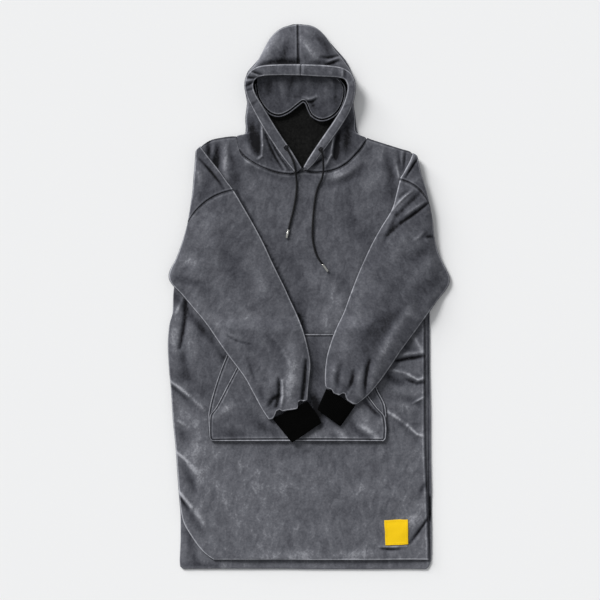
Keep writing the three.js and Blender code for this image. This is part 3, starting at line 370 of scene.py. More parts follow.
def by_key(rows, key, at, column):
    """A column at values of the key column."""
    x, y = rows[key], rows[column]
    gap = np.diff(x)
    pitch = np.diff(y) / gap
    before, after = pitch[:-1], pitch[1:]
    same_way = before * after > 0
    both = np.where(same_way, before + after, 1)
    inner = np.where(same_way, 2 * before * after / both, 0)
    slope = np.concatenate([pitch[:1], inner, pitch[-1:]])
    i = np.clip(np.searchsorted(x, at) - 1, 0, len(gap) - 1)
    t = np.clip((at - x[i]) / gap[i], 0, 1)
    curve = slope[i] * t * (1 - t) ** 2 * gap[i] - slope[i + 1] * t**2 * (1 - t) * gap[i]
    return y[i] + (y[i + 1] - y[i]) * smooth(t) + curve


def smooth(t):
    t = np.clip(t, 0, 1)
    return t * t * (3 - 2 * t)


def mix(a, b, t):
    return a + (b - a) * t


def turns(count):
    """Angles of evenly spaced points, once round."""
    return 2 * np.pi * np.arange(count) / count


def gone_along(x, y):
    """Distance gone from the first point of a line to each of its points."""
    return np.concatenate([[0], np.cumsum(np.hypot(np.diff(x), np.diff(y)))])


def bell(distance, middle, width):
    """1 where a distance is at its middle, fading to almost nothing two widths away."""
    return np.exp(-(((distance - middle) / width) ** 2))


# %% Steps along an edge
EDGE_MM = np.array([0.3, 0.8, 1.5, 2.3, 3.2, 4.1, 5.0, 6.4, 8.0])


def spread(count, length, start=True, end=True):
    """Shares from 0 to 1, evenly spaced, with close ones near the chosen ends for a rounded rim."""
    near = EDGE_MM / length
    middle = np.linspace(0, 1, count + 1)
    low = near if start else []
    high = 1 - near if end else []
    inner = middle[(middle > (near[-1] if start else 0)) & (middle < (1 - near[-1] if end else 1))]
    return np.unique(np.concatenate([[0, 1], low, inner, high]))


ROLL_MM = 2.8  # radius to which plush and backing roll at a cut or folded edge
EDGE_LEFT = 0.1


def rounding(away, radius=ROLL_MM):
    """Share of the cloth's half thickness that is left at a distance from its edge."""
    full = np.sqrt(1 - (1 - np.clip(away / radius, 0, 1)) ** 2)
    return mix(EDGE_LEFT, 1, full)


def run_from(x, y, axis):
    """Distance along each grid line from its first and from its last point."""
    step = np.hypot(np.diff(x, axis=axis), np.diff(y, axis=axis))
    zero = np.zeros_like(np.take(x, [0], axis=axis))
    gone = np.concatenate([zero, np.cumsum(step, axis=axis)], axis=axis)
    return gone, np.take(gone, [-1], axis=axis) - gone


def distance_to_rim(x, y):
    """Distance from each point of a grid to the nearest end of its own row or column."""
    return np.minimum.reduce([*run_from(x, y, 0), *run_from(x, y, 1)])


# painted shade in a seam, with a painted highlight a little way beside it
SEAM_REACH = 2.6
SEAM_SHADE = 0.9
BESIDE_SEAM = 5.4  # a painted highlight lies this far from a seam
BESIDE_WIDTH = 1.8
BESIDE_GLOW = 0.35
RIM_HIGHLIGHT_AT = 1.9  # a painted highlight lies this far in from a folded edge
RIM_HIGHLIGHT_WIDTH = 1.4
EDGE_SHADE_WIDTH = 0.9  # and painted shade lies over this width at the very edge
EDGE_SHADE = 1.3
FULL_FOLD = 3.0  # height of a fold at which its painted highlight or shade is full
DEEPEST_PAINTED_SHADE = -1.1  # a deep trough gets painted shade a little darker than that


def painted_light_at(extra, to_seam=np.inf, to_fold=np.inf, glow=1.0):
    """Painted light at points: painted highlight on a ridge, beside a seam and just in from a folded edge,
    and painted shade in a trough, in a seam and at the very edge."""
    folded = np.clip(extra / FULL_FOLD, DEEPEST_PAINTED_SHADE, 1.0)
    seam = SEAM_SHADE * bell(to_seam, 0, SEAM_REACH)
    beside = BESIDE_GLOW * bell(to_seam, BESIDE_SEAM, BESIDE_WIDTH)
    rim_highlight = bell(to_fold, RIM_HIGHLIGHT_AT, RIM_HIGHLIGHT_WIDTH)
    painted_edge_shade = EDGE_SHADE * bell(to_fold, 0, EDGE_SHADE_WIDTH)
    return folded * (1 - rim_highlight) - seam + beside + glow * rim_highlight - painted_edge_shade


# %% [markdown]
# ## Folds
#
# Thick plush folds softly: a fold is a long low ridge or trough, wider than it is high, that fades at both
# ends. Each row of a fold table gives its two ends, how far its middle bows aside, its width and its
# height, which is negative for a trough. A lean below 1 makes one flank steeper, as where cloth has been
# pushed over itself. A slow noise adds the small unevenness that no table would list.

# %% Fold helpers
FOLD_COLUMNS = "x0 y0 x1 y1 bow width height lean"
END_HEIGHT = 0.55  # share of its height that a fold has at its ends


def folds_at(folds, x, y):
    """Height that a table of folds adds at points."""
    total = np.zeros(np.broadcast(x, y).shape)
    for k in range(count_rows(folds)):
        f = {name: column[k] for name, column in folds.items()}
        dx, dy = f["x1"] - f["x0"], f["y1"] - f["y0"]
        length = math.hypot(dx, dy)
        run = ((x - f["x0"]) * dx + (y - f["y0"]) * dy) / length
        t = np.clip(run / length, 0, 1)
        aside = ((x - f["x0"]) * dy - (y - f["y0"]) * dx) / length - f["bow"] * 4 * t * (1 - t)
        beyond = np.maximum(0, np.maximum(-run, run - length))
        width = np.where(aside > 0, f["width"], f["width"] * f["lean"])
        fade = mix(END_HEIGHT, 1, np.sin(np.pi * t))
        total += f["height"] * fade * np.exp(-((aside / width) ** 2) - (beyond / f["width"]) ** 2)
    return total


def unevenness(x, y, size_mm, height, seed):
    """Slow smooth noise over points, up to about the given height."""
    x, y = np.broadcast_arrays(x, y)
    values = [
        noise.noise(Vector((a / size_mm, b / size_mm, seed))) for a, b in zip(x.ravel(), y.ravel())
    ]
    return height * np.array(values).reshape(x.shape)


# %% [markdown]
# ## Shells
#
# A cloth panel is a closed thin wall: an upper face, a lower face and the rim between them. The upper face
# is a fine grid. The lower one is hidden, so it keeps only some lines of that grid, and the rim joins the
# points that both have. A tube such as a sleeve has an outer and an inner ring at each station instead. A
# third form is a filled roll, for cords, casings and bindings. Each is built facing outwards, which its
# signed volume tells.

# %% Shell helpers
def signed_volume(points, quads):
    a, b, c, d = (points[quads[:, k]] for k in range(4))
    first = np.einsum("ij,ij->i", a, np.cross(b, c)).sum()
    return first + np.einsum("ij,ij->i", a, np.cross(c, d)).sum()


def cloth_object(name, points, quads, material, uv=None, painted_light=None, caps=()):
    """Mesh object from points in millimetres and faces, facing out, with smooth shading."""
    faces = quads.tolist() + list(caps)
    if signed_volume(points, quads) < 0:
        faces = [face[::-1] for face in faces]
    mesh = bpy.data.meshes.new(name)
    mesh.from_pydata((points * MM).tolist(), [], faces)
    mesh.polygons.foreach_set("use_smooth", [True] * len(mesh.polygons))
    mesh.materials.append(material)
    if uv is not None:
        corners = np.empty(len(mesh.loops), int)
        mesh.loops.foreach_get("vertex_index", corners)
        layer = mesh.uv_layers.new(name="along")
        layer.data.foreach_set("uv", uv[corners].astype(np.float32).ravel())
    # painted light at the points, which the plush material reads
    if painted_light is not None:
        values = np.zeros(len(points), np.float32)
        values[: painted_light.size] = painted_light.ravel()
        mesh.attributes.new("painted_light", "FLOAT", "POINT").data.foreach_set("value", values)
    piece = bpy.data.objects.new(name, mesh)
    bpy.context.scene.collection.objects.link(piece)
    return piece


def grid_quads(rows, columns, start, wrap=False):
    """Quads over a grid of points that are numbered row by row from start."""
    row = start + columns * np.arange(rows - 1)[:, None]
    j = np.arange(columns if wrap else columns - 1)[None, :]
    after = (j + 1) % columns
    quads = np.stack([row + j, row + columns + j, row + columns + after, row + after], axis=-1)
    return quads.reshape(-1, 4)


UNDER_EACH = 4  # the hidden underside keeps one line in so many


def every_few(count):
    return np.unique(np.append(np.arange(0, count, UNDER_EACH), count - 1))


def wall(name, over, under, material, painted_light=None):
    """Closed wall between two grids of points [row, column, xyz]. The underside is sparser."""
    rows, columns = over.shape[:2]
    kept_rows, kept_columns = every_few(rows), every_few(columns)
    lower = under[np.ix_(kept_rows, kept_columns)]
    half = rows * columns
    points = np.concatenate([over.reshape(-1, 3), lower.reshape(-1, 3)])
    top = grid_quads(rows, columns, 0)
    bottom = grid_quads(*lower.shape[:2], half)[:, ::-1]
    number = np.arange(half).reshape(rows, columns)
    kept = number[np.ix_(kept_rows, kept_columns)].ravel().tolist()
    below = {vertex: half + k for k, vertex in enumerate(kept)}
    sides = [number[:-1, 0], number[-1, :-1], number[:0:-1, -1], number[0, ::-1]]
    rim, run = [], []
    for vertex in np.concatenate(sides).tolist():
        run.append(vertex)
        if vertex in below and len(run) > 1:
            rim.append(run[::-1] + [below[run[0]], below[vertex]])
            run = [vertex]
    return cloth_object(name, points, np.concatenate([top, bottom]), material, None, painted_light, rim)


def tube(name, outer, inner, material, uv=None, painted_light=None):
    """Closed wall of a tube between outer and inner rings [station, point, xyz], open at its ends."""
    stations, around = outer.shape[:2]
    points = np.concatenate([outer.reshape(-1, 3), inner.reshape(-1, 3)])
    half = stations * around
    outside = grid_quads(stations, around, 0, wrap=True)
    inside = grid_quads(stations, around, half, wrap=True)[:, ::-1]
    j = np.arange(around)
    onward = (j + 1) % around
    first = np.stack([j, onward, onward + half, j + half], axis=-1)
    end = (stations - 1) * around
    last = np.stack([j + end, j + end + half, onward + end + half, onward + end], axis=-1)
    quads = np.concatenate([outside, inside, first, last])
    return cloth_object(name, points, quads, material, uv, painted_light)


def roll_solid(name, rings, material, uv=None, painted_light=None):
    """Filled roll through rings [station, point, xyz], closed by a point at each end."""
    stations, around = rings.shape[:2]
    rim_highlighted = np.stack([rings[0].mean(axis=0), rings[-1].mean(axis=0)])
    points = np.concatenate([rings.reshape(-1, 3), rim_highlighted])
    skin = grid_quads(stations, around, 0, wrap=True)
    end = (stations - 1) * around
    tip = stations * around
    pairs = [(j, (j + 1) % around) for j in range(around)]
    caps = [[a, b, tip] for a, b in pairs] + [[b + end, a + end, tip + 1] for a, b in pairs]
    return cloth_object(name, points, skin, material, uv, painted_light, caps)


# %% [markdown]
# ## Drawcords
#
# The cords come first, because their route is fixed: each leaves its eyelet, runs down over the casing and
# the neck seam and lies on the chest. A braided cord of 4.4 mm bends gently, so a smooth curve through a
# few points is enough. The tube gets a map along its length for the braid.

# %% Cord routes
CORD_RADIUS = 2.2
LEFT_ROUTE = [
    (-50, 328, 27.5),
    (-44, 318, 26.9),
    (-37, 305, 25.4),
    (-32, 291, 25.1),
    (-29, 275, 21.1),
    (-27, 256, 15.0),
    (-27.5, 228, 14.9),
    (-33, 195, 14.9),
    (-40, 166, 14.9),
    (-44.5, 148, 14.9),
]
RIGHT_ROUTE = [
    (26, 324, 29.5),
    (30, 313, 27.0),
    (31.5, 298, 23.5),
    (32, 281, 21.1),
    (29.5, 263, 16.6),
    (19, 238, 14.9),
    (13.5, 213, 14.9),
    (9.5, 175, 14.9),
    (8, 137, 14.9),
    (11, 112, 14.9),
    (18.5, 89, 14.9),
    (30.5, 71.5, 14.9),
]


def centripetal(points, each):
    """Smooth curve through points that are unevenly spaced, without loops."""
    p = np.array(points, float)
    p = np.concatenate([[2 * p[0] - p[1]], p, [2 * p[-1] - p[-2]]])
    knots = np.concatenate([[0], np.cumsum(np.linalg.norm(np.diff(p, axis=0), axis=1) ** 0.5)])
    curve = []
    for k in range(1, len(p) - 2):
        t0, t1, t2, t3 = knots[k - 1 : k + 3]
        for t in np.linspace(t1, t2, each, endpoint=False):
            a1 = mix(p[k - 1], p[k], (t - t0) / (t1 - t0))
            a2 = mix(p[k], p[k + 1], (t - t1) / (t2 - t1))
            a3 = mix(p[k + 1], p[k + 2], (t - t2) / (t3 - t2))
            b1 = mix(a1, a2, (t - t0) / (t2 - t0))
            b2 = mix(a2, a3, (t - t1) / (t3 - t1))
            curve.append(mix(b1, b2, (t - t1) / (t2 - t1)))
    return np.array(curve + [p[-2]])


def rings_along(line, radii, around):
    """Round rings across a line of points, with a radius for each, and their map."""
    forward = np.gradient(line, axis=0)
    forward /= np.linalg.norm(forward, axis=1)[:, None]
    aside = np.cross(forward, (0, 0, 1))
    aside /= np.linalg.norm(aside, axis=1)[:, None]
    upward = np.cross(aside, forward)
    angle = turns(around)[None, :, None]
    ring = np.cos(angle) * aside[:, None] + np.sin(angle) * upward[:, None]
    gone = np.concatenate([[0], np.cumsum(np.linalg.norm(np.diff(line, axis=0), axis=1))])
    u = np.tile(np.arange(around) / around, (len(line), 1))
    v = np.tile(gone[:, None], (1, around))
    ends = np.array([[0.5, 0], [0.5, gone[-1]]])
    uv = np.concatenate([np.stack([u, v], axis=-1).reshape(-1, 2), ends])
    return line[:, None] + radii[:, None, None] * ring, uv, gone[-1]


def drawcord(name, route):
    line = centripetal(route, 12)
    rings, uv, length = rings_along(line, np.full(len(line), CORD_RADIUS), 20)
    return roll_solid(name, rings, DRAWCORD, uv), line, length


left_cord, left_line, left_cord_length = drawcord("drawcord_left", LEFT_ROUTE)
right_cord, right_line, right_cord_length = drawcord("drawcord_right", RIGHT_ROUTE)
print("cords in mm:", round(left_cord_length), round(right_cord_length))

# %% [markdown]
# ## Body outline
#
# The body is two long panels. Their side seams, neck and shoulders are drawn through the same measured
# points as the solids. A panel is a Coons patch: rows and columns run between its four edges, so the grid
# follows the neck curve as well as the seams.

# %% Body tables
SIDES = table(
    "y left right back_left back_right",
    (-600, -150, 262, -277, 258),
    (-594, -180, 263, -283, 264),
    (-580, -209, 264, -284, 269),
    (-560, -235, 264, -283, 270),
    (-527, -259, 263, -282, 270),
    (-494, -277, 262, -282, 270),
    (-464, -283, 261, -283, 270),
    (-430, -286, 260, -285, 270),
    (-390, -289, 258, -287, 269),
    (-330, -293, 256, -291, 268),
    (-270, -299, 255, -297, 268),
    (-205, -303, 255, -301, 267),
    (-150, -308, 255, -305, 266),
    (-105, -310, 255, -306, 266),
    (-64, -307, 255, -303, 266),
    (-31, -299, 256, -297, 266),
    (5, -298, 258, -296, 264),
    (50, -291, 259, -289, 262),
    (105, -277, 257, -276, 260),
    (165, -260, 254, -259, 256),
    (215, -253, 247, -252, 249),
    (268, -247, 237, -246, 238),
    (323, -239, 225, -238, 225),
)
SHOULDER_LEFT = table(
    "x y", (-239, 323), (-235, 332), (-215, 345), (-187, 351), (-170, 353), (-161, 353)
)
SHOULDER_RIGHT = table(
    "x y", (128, 349.5), (135, 346.5), (157, 339.5), (200, 326), (219, 320.5), (225, 316)
)
NECK = table(
    "x y",
    (-159, 352.5),
    (-155, 332),
    (-148, 315),
    (-129, 299),
    (-103, 285.5),
    (-67, 273.5),
    (-38, 270.5),
    (-19, 275.5),
    (-11, 277),
    (18, 274),
    (53, 279),
    (82, 293.5),
    (107, 318),
    (120, 335),
    (126.5, 349),
)
BACK_NECK = table(
    "x y",
    (-159, 350),
    (-150, 346),
    (-125, 339.5),
    (-90, 336),
    (-55, 333.5),
    (-17, 332.5),
    (20, 333.5),
    (58, 336),
    (95, 340),
    (118, 344),
    (126.5, 347),
)

# %% Panel grid
SEAM_GAP = 0.4
HEM_WAVE = 1.6
HEM_WAVE_LENGTH = 110.0


def sample(rows, shares):
    at = shares * (count_rows(rows) - 1)
    return along(rows, at, "x"), along(rows, at, "y")


def panel_grid(neck, hem, left_column, right_column, rows_count, neck_count):
    """Points x, y of a body panel, column by column from the left seam."""
    parts = [
        sample(SHOULDER_LEFT, spread(44, 90, end=False)),
        sample(neck, np.linspace(0, 1, neck_count)),
        sample(SHOULDER_RIGHT, spread(50, 105, start=False)),
    ]
    head_x, head_y = (np.concatenate(values) for values in zip(*parts))
    is_neck = np.concatenate([np.zeros(len(parts[0][0])), np.ones(neck_count), np.zeros(len(parts[2][0]))])
    head_y = head_y - SEAM_GAP * is_neck
    u = ((head_x - head_x[0]) / (head_x[-1] - head_x[0]))[:, None]
    v = spread(rows_count, 925)[None, :]
    left_y, right_y = mix(hem, head_y[0], v), mix(hem, head_y[-1], v)
    foot_left = by_key(SIDES, "y", np.array([hem]), left_column)[0]
    foot_right = by_key(SIDES, "y", np.array([hem]), right_column)[0]
    foot_x = mix(foot_left, foot_right, u)
    side_x = mix(by_key(SIDES, "y", left_y, left_column), by_key(SIDES, "y", right_y, right_column), u)
    x = side_x + mix(foot_x, head_x[:, None], v) - mix(foot_x, mix(head_x[0], head_x[-1], u), v)
    y = mix(left_y, right_y, u) + mix(hem, head_y[:, None], v) - mix(hem, mix(head_y[0], head_y[-1], u), v)
    wave = HEM_WAVE + unevenness(x[:, :1], 0.0, HEM_WAVE_LENGTH, HEM_WAVE, 2.3)
    return x, y + wave * (1 - smooth((y - hem) / HEM_WAVE_LENGTH))


# %% [markdown]
# ## Back panel
#
# The back lies on the floor with its plush side down, so that side is flat. Only its hem and a
# strip along the right side seam show. The strip is where the plush turns over the seam, so it carries a
# sunk stitch line.

# %% Back panel
CLOTH = 4.5
BACK_HEM = -600
FOLD_SHADE = 1.5  # low folds get painted shade and highlight as if they were this much higher
BACK_PAINTED_LIGHT = 0.25  # painted highlight over the whole back, of which only the rims show
BACK_FOLDS = table(
    FOLD_COLUMNS,
    (262.5, -40, 263.5, -250, 0, 1.8, -1.9, 1),
    (263.5, -250, 264.5, -560, 0, 1.8, -1.9, 1),
    (-262, -500, -246, -592, 4, 9, -1.2, 1),
    (-268, -588, -200, -592, 0, 5, -0.9, 1),
    (267, -438, 267, -492, 0, 2.6, -3.0, 1),
)


def lift(grid, under, thick, extra=0.0, radius=ROLL_MM):
    """Upper and lower face of a wall whose under face is at a height, rolled at its rim."""
    x, y = grid
    half = thick / 2 * rounding(distance_to_rim(x, y), radius)
    middle = under + thick / 2
    over = np.stack([x, y, middle + half + extra], axis=-1)
    return over, np.stack([x, y, middle - half], axis=-1)


back_grid = panel_grid(BACK_NECK, BACK_HEM, "back_left", "back_right", 150, 60)
back_folded = folds_at(BACK_FOLDS, *back_grid)
back_over, back_under = lift(back_grid, np.zeros(back_grid[0].shape), CLOTH, back_folded)
back_under[..., 2] = 0
back_painted_light = painted_light_at(FOLD_SHADE * back_folded) + BACK_PAINTED_LIGHT
back_panel = wall("back_of_body", back_over, back_under, BODY_PLUSH, back_painted_light)
print("back panel faces:", len(back_panel.data.polygons))

# %% [markdown]
# ## Front panel
#
# The front lies on the back with a little air in between. Its lower left corner is tucked under in a
# curve, its left edge is pushed into a rounded pleat, and long soft folds run in from both seams. The
# table lists them by where they lie: down the left edge, up the right one, along the shoulders and the
# neck, and then the wide soft ones in the middle.

# %% Front folds
FRONT_FOLDS = table(
    FOLD_COLUMNS,
    # left edge, from the elbow down
    (-270, -4, -284, -112, -4, 4.5, -4.8, 0.8),
    (-292, -30, -300, -150, 0, 13, 1.2, 1),
    (-276, -2, -290, -34, 0, 4, 2.2, 1),
    (-252, -20, -262, -150, 4, 16, 1.2, 1),
    (-274, -112, -270, -178, 0, 9, -2.0, 1),
    (-303, -186, -262, -218, -1, 3.0, 3.8, 0.9),
    (-262, -218, -228, -250, -1, 4.0, 1.8, 0.9),
    (-284, -170, -226, -214, -3, 9, -0.9, 1),
    (-304, -195, -268, -226, -1, 3.4, -2.2, 1),
    (-280, -222, -244, -256, -3, 9, -0.5, 1),
    (-289, -271, -272, -282, 0, 3.2, 1.7, 1),
    (-280, -290, -268, -328, 0, 9, -1.6, 1),
    (-291, -341, -266, -363, -1, 3.0, 3.2, 0.9),
    (-266, -363, -240, -390, 0, 6, 1.5, 1),
    (-272, -374, -250, -426, 0, 9, -2.2, 1),
    (-262, -330, -222, -420, 8, 16, 0.7, 1),
    (-287, -426, -258, -462, -0.5, 3.2, 4.0, 0.9),
    (-258, -462, -228, -504, -0.5, 6, 2.0, 1),
    (-290, -430, -264, -468, 0, 3.2, -3.0, 1),
    (-276, -456, -240, -510, -2, 9, -1.6, 1),
    # hem
    (-150, -572, 20, -568, 0, 10, 1.0, 1),
    (60, -566, 150, -564, 0, 9, 1.0, 1),
    (160, -553, 198, -554.5, 1, 3, -3.4, 1),
    (156, -549.5, 214, -547.5, 0.5, 2.2, 2.2, 1),
    # right edge, from the hem up
    (264, -484, 222, -541, -1, 3.0, -4.4, 0.9),
    (250, -462, 206, -524, 2, 13, 1.4, 1),
    (262, -406, 246, -430, 1, 5, -1.8, 1),
    (173, -251, 216, -281, 0, 3.3, 3.2, 0.9),
    (216, -281, 238, -302, 0, 3.3, 3.2, 0.9),
    (238, -302, 253, -306, 0, 2.8, 2.6, 1),
    (190, -270, 240, -314, -2, 8, -1.3, 1),
    (196, -262, 240, -284, 0, 8, -0.9, 1),
    (199, -127, 253, -121, 0, 4, 1.6, 1),
    (191, -140, 255, -130, 0, 4.4, -4.8, 0.8),
    (179, -160, 218, -170, -1, 3.4, 2.2, 1),
    (218, -170, 240, -182, 0, 3.2, 3.0, 1),
    (240, -182, 254, -178, 0, 3.2, 2.6, 1),
    (172, -174, 206, -190, 2, 8, -2.4, 1),
    (214, -181, 238, -191, 0, 3.6, -3.2, 1),
    (240, -191, 255, -187, 0, 3.6, -2.8, 1),
    (196, -202, 238, -208, 3, 9, 0.9, 1),
    (230, -233, 253, -220, 0, 2.8, 2.8, 1),
    (206, -222, 250, -238, 0, 7, -1.8, 1),
    (190, -232, 214, -244, 0, 8, 0.8, 1),
    (229, -84, 250, -119, 0, 5, 2.0, 1),
    (206, -104, 226, -118, 0, 7, -1.4, 1),
    # left shoulder
    (-220, 338, -221, 306, 0, 5, -3.8, 1),
    (-209, 330, -209, 306, 0, 4.5, 2.0, 1),
    (-200, 330, -203, 286, 2, 9, -4.6, 0.9),
    (-181, 332, -181, 262, 2, 7, 1.9, 1),
    (-172, 334, -170, 300, 0, 7, -1.4, 1),
    (-166, 298, -154, 236, 0, 13, -1.6, 1),
    (-192, 236, -160, 186, 0, 12, -1.4, 1),
    # neck
    (-136, 300, -92, 282, -3, 8, 1.4, 1),
    (-120, 278, -60, 258, -4, 9, -1.0, 1),
    (-60, 258, -6, 262, 0, 9, -0.9, 1),
    (40, 262, 104, 290, 8, 9, 2.0, 1),
    (52, 250, 118, 286, 8, 10, -1.8, 1),
    # right shoulder
    (118, 250, 158, 268, 4, 14, 1.0, 1),
    (172, 308, 182, 266, 0, 10, -2.2, 1),
    (189, 300, 198, 262, 1, 2.8, 2.8, 1),
    (197, 320, 203, 276, 1, 3.2, -2.4, 1),
    (205, 316, 203, 284, 0, 2.6, 1.6, 1),
    (212, 316, 208, 280, 0, 2.6, -3.0, 1),
    (150, 332, 164, 300, 0, 9, 1.2, 1),
    (186, 262, 178, 214, 0, 12, -1.6, 1),
    # chest
    (-140, 60, -120, -20, 0, 22, 0.9, 1),
    (30, 40, 70, -60, -8, 20, 0.9, 1),
    (-60, 120, -20, 20, 6, 24, -0.9, 1),
    (80, 200, 120, 120, 4, 22, -1.1, 1),
    (-158, 232, -96, 112, 0, 3.4, -2.0, 1),
    (-93, 112, -22, -40, 0, 3.4, -2.2, 1),
    (-22, -40, 6, -120, -3, 3.4, -2.0, 1),
    # along the lower edges of the sleeves; the troughs here also carry painted shade for the sleeves'
    # shadow
    (-292, 2, -214, -92, 2, 9, -2.4, 1),
    (-212, -96, -124, -222, 2, 6, -1.4, 1),
    (-20, -10, -14, -70, 0, 12, -1.4, 1),
    (36, -30, 40, -76, 0, 9, 1.2, 1),
    # round the pocket and below it
    (-150, -400, -60, -420, 10, 28, 0.5, 1),
    (-40, -470, 120, -500, -12, 30, -0.5, 1),
    (-180, -430, -120, -520, 10, 26, 0.4, 1),
    (120, -350, 200, -400, 10, 24, -0.5, 1),
    (-50, -348, 70, -352, 0, 18, -0.7, 1),
    (-268, -236, -232, -330, 0, 20, 0.7, 1),
)
AIR = 2.4
AIR_WIDTH = 70.0
LAYER_GAP = 0.8
SWELL_FADE = 14.0
# painted light: the lower front is drawn lighter towards the hem
HEM_PAINTED_LIGHT = 0.22
HEM_LIGHT_FROM, HEM_LIGHT_OVER = -160, 160


def inside_sides(x, y):
    return np.minimum(x - by_key(SIDES, "y", y, "left"), by_key(SIDES, "y", y, "right") - x)


def front_under(x, y):
    """Height of the front's under face."""
    air = AIR * smooth(inside_sides(x, y) / AIR_WIDTH)
    return CLOTH + LAYER_GAP + air


def body_swell(x, y):
    """Slow swell of the front, which the pocket on it follows."""
    return unevenness(x, y, 46, 0.9, 3.1)


def front_top(x, y):
    """Height of the front's upper face, away from its rim."""
    swell = body_swell(x, y) + unevenness(x, y, 17, 0.35, 8.4)
    fade = smooth(inside_sides(x, y) / SWELL_FADE)
    return front_under(x, y) + CLOTH + folds_at(FRONT_FOLDS, x, y) + swell * fade


def painted_light_towards_hem(y):
    """Painted light low on the body: the front is drawn lighter towards the hem."""
    return HEM_PAINTED_LIGHT * smooth((HEM_LIGHT_FROM - y) / HEM_LIGHT_OVER)


print("folds in the front:", count_rows(FRONT_FOLDS))

# %% Front panel
FRONT_HEM = -580
FRONT_RIM = 5.0  # folds fade out over this distance from the rim
OVER_BACK = 0.2  # least air between the back panel and the front
THINNEST = 0.6  # least wall under a trough

front_grid = panel_grid(NECK, FRONT_HEM, "left", "right", 400, 86)
front_rest = front_under(*front_grid)
front_extra = front_top(*front_grid) - front_rest - CLOTH
front_extra *= smooth(distance_to_rim(*front_grid) / FRONT_RIM)
front_over, front_lower = lift(front_grid, front_rest, CLOTH, front_extra)
follow = np.maximum(front_lower[..., 2] + front_extra, CLOTH + OVER_BACK)
front_lower[..., 2] = np.minimum(follow, front_over[..., 2] - THINNEST)
to_left, to_right = run_from(*front_grid, 0)
to_hem, to_neck = run_from(*front_grid, 1)
front_painted_light = painted_light_at(
    folds_at(FRONT_FOLDS, *front_grid), np.minimum(to_neck, to_right), np.minimum(to_left, to_hem)
)
front_painted_light += painted_light_towards_hem(front_grid[1])
front_panel = wall("front_of_body", front_over, front_lower, BODY_PLUSH, front_painted_light)
print("front panel faces:", len(front_panel.data.polygons))

# %% [markdown]
# ## Kangaroo pocket
#
# The pocket is two layers. The backing has the full outline and shows inside the slanted mouths. The patch
# over it has hemmed mouths. Both take their height from the front panel, so they follow its swell.

# %% Pocket
POCKET_SIDES = table(
    "y left right mouth_left mouth_right",
    (-317, -213, 164, -213, 164),
    (-309, -219, 170, -219, 170),
    (-290, -221, 171, -220, 171),
    (-264, -222, 171, -219, 168),
    (-242, -219, 169, -205, 150),
    (-200, -208, 150, -183, 121),
    (-156, -193, 138, -160, 102),
    (-120, -178, 125, -142, 87),
    (-83, -163, 113, -123, 75),
)
POCKET_CLOTH = 3.0
POCKET_FOLDS = table(
    FOLD_COLUMNS,
    (112, -282, 150, -308, 0, 8, 1.6, 1),
    (92, -276, 132, -310, 4, 8, -1.4, 1),
    (60, -290, 84, -312, 0, 7, 1.3, 1),
    (-120, -262, -72, -300, 6, 12, -1.2, 1),
    (-204, -262, -170, -236, 0, 9, 1.0, 1),
    (-196, -300, -140, -306, 0, 10, -0.8, 1),
    (14, -90, 20, -190, 0, 10, -1.0, 1),
    (-10, -306, 40, -300, 0, 8, 1.0, 1),
    # deep trough between the cuffs, whose painted shade stands in for their shadow on the pocket
    (9, -222, 27, -272, 0, 14, -2.8, 1),
    (122, -226, 158, -262, 3, 5, -2.0, 1),
    (96, -250, 150, -286, 0, 24, 0.6, 1),
)
STITCH_IN = 4.8
TOP_STITCH_IN = 5.2
GROOVE_DEPTH = 1.3
GROOVE_WIDTH = 1.3
# painted shade in the stitch groove, and painted highlight where the plush stands up beside it
GROOVE_SHADE = 2.2
BESIDE_GROOVE = 3.4  # the plush stands up again this far from the stitch
BESIDE_GROOVE_WIDTH = 1.5
BESIDE_GROOVE_RISE = 0.7
BORDER_FADE = 6.0  # folds fade out over this distance from the rim
POCKET_ROLL = 1.6  # radius to which the thinner pocket cloth rolls at its rim
BACKING_FOOT, BACKING_TOP = -315, -84
PATCH_FOOT, PATCH_TOP = -316.8, -80.5
pocket_lift = {"backing": LAYER_GAP, "patch": 2 * LAYER_GAP + POCKET_CLOTH}


def hem_relief(to_edge, stitch_in, beside):
    """Groove that a row of topstitch pulls into a hem, with the plush standing up beside it."""
    groove = GROOVE_DEPTH * bell(to_edge, stitch_in, GROOVE_WIDTH)
    return beside * bell(to_edge, stitch_in + BESIDE_GROOVE, BESIDE_GROOVE_WIDTH) - groove


def pocket_grid(left_column, right_column, foot, top):
    u = spread(150, 390)[:, None]
    y = mix(foot, top, spread(90, 232)[None, :]) + 0 * u
    left = by_key(POCKET_SIDES, "y", y, left_column)
    right = by_key(POCKET_SIDES, "y", y, right_column)
    return mix(left, right, u), y


def pocket_under(x, y, layer):
    """Height of the under face of one layer of the pocket."""
    return front_under(x, y) + CLOTH + body_swell(x, y) + pocket_lift[layer]


def pocket_layer(name, columns, foot, top, layer):
    x, y = pocket_grid(*columns, foot, top)
    border = distance_to_rim(x, y)
    folded = folds_at(POCKET_FOLDS, x, y) * smooth(border / BORDER_FADE)
    to_foot, to_top = run_from(x, y, 1)
    from_sides = np.minimum.reduce([*run_from(x, y, 0), to_foot])
    side_hem = hem_relief(from_sides, STITCH_IN, BESIDE_GROOVE_RISE)
    hem = np.where(from_sides < to_top, side_hem, hem_relief(to_top, TOP_STITCH_IN, 0))
    over, lower = lift((x, y), pocket_under(x, y, layer), POCKET_CLOTH, folded + hem, POCKET_ROLL)
    painted_light = painted_light_at(FOLD_SHADE * folded + GROOVE_SHADE * hem, to_fold=border)
    return wall(name, over, lower, POCKET_PLUSH, painted_light)


def patch_top(x, y):
    """Height of the stitched groove in the patch."""
    return pocket_under(x, y, "patch") + POCKET_CLOTH + folds_at(POCKET_FOLDS, x, y) - GROOVE_DEPTH


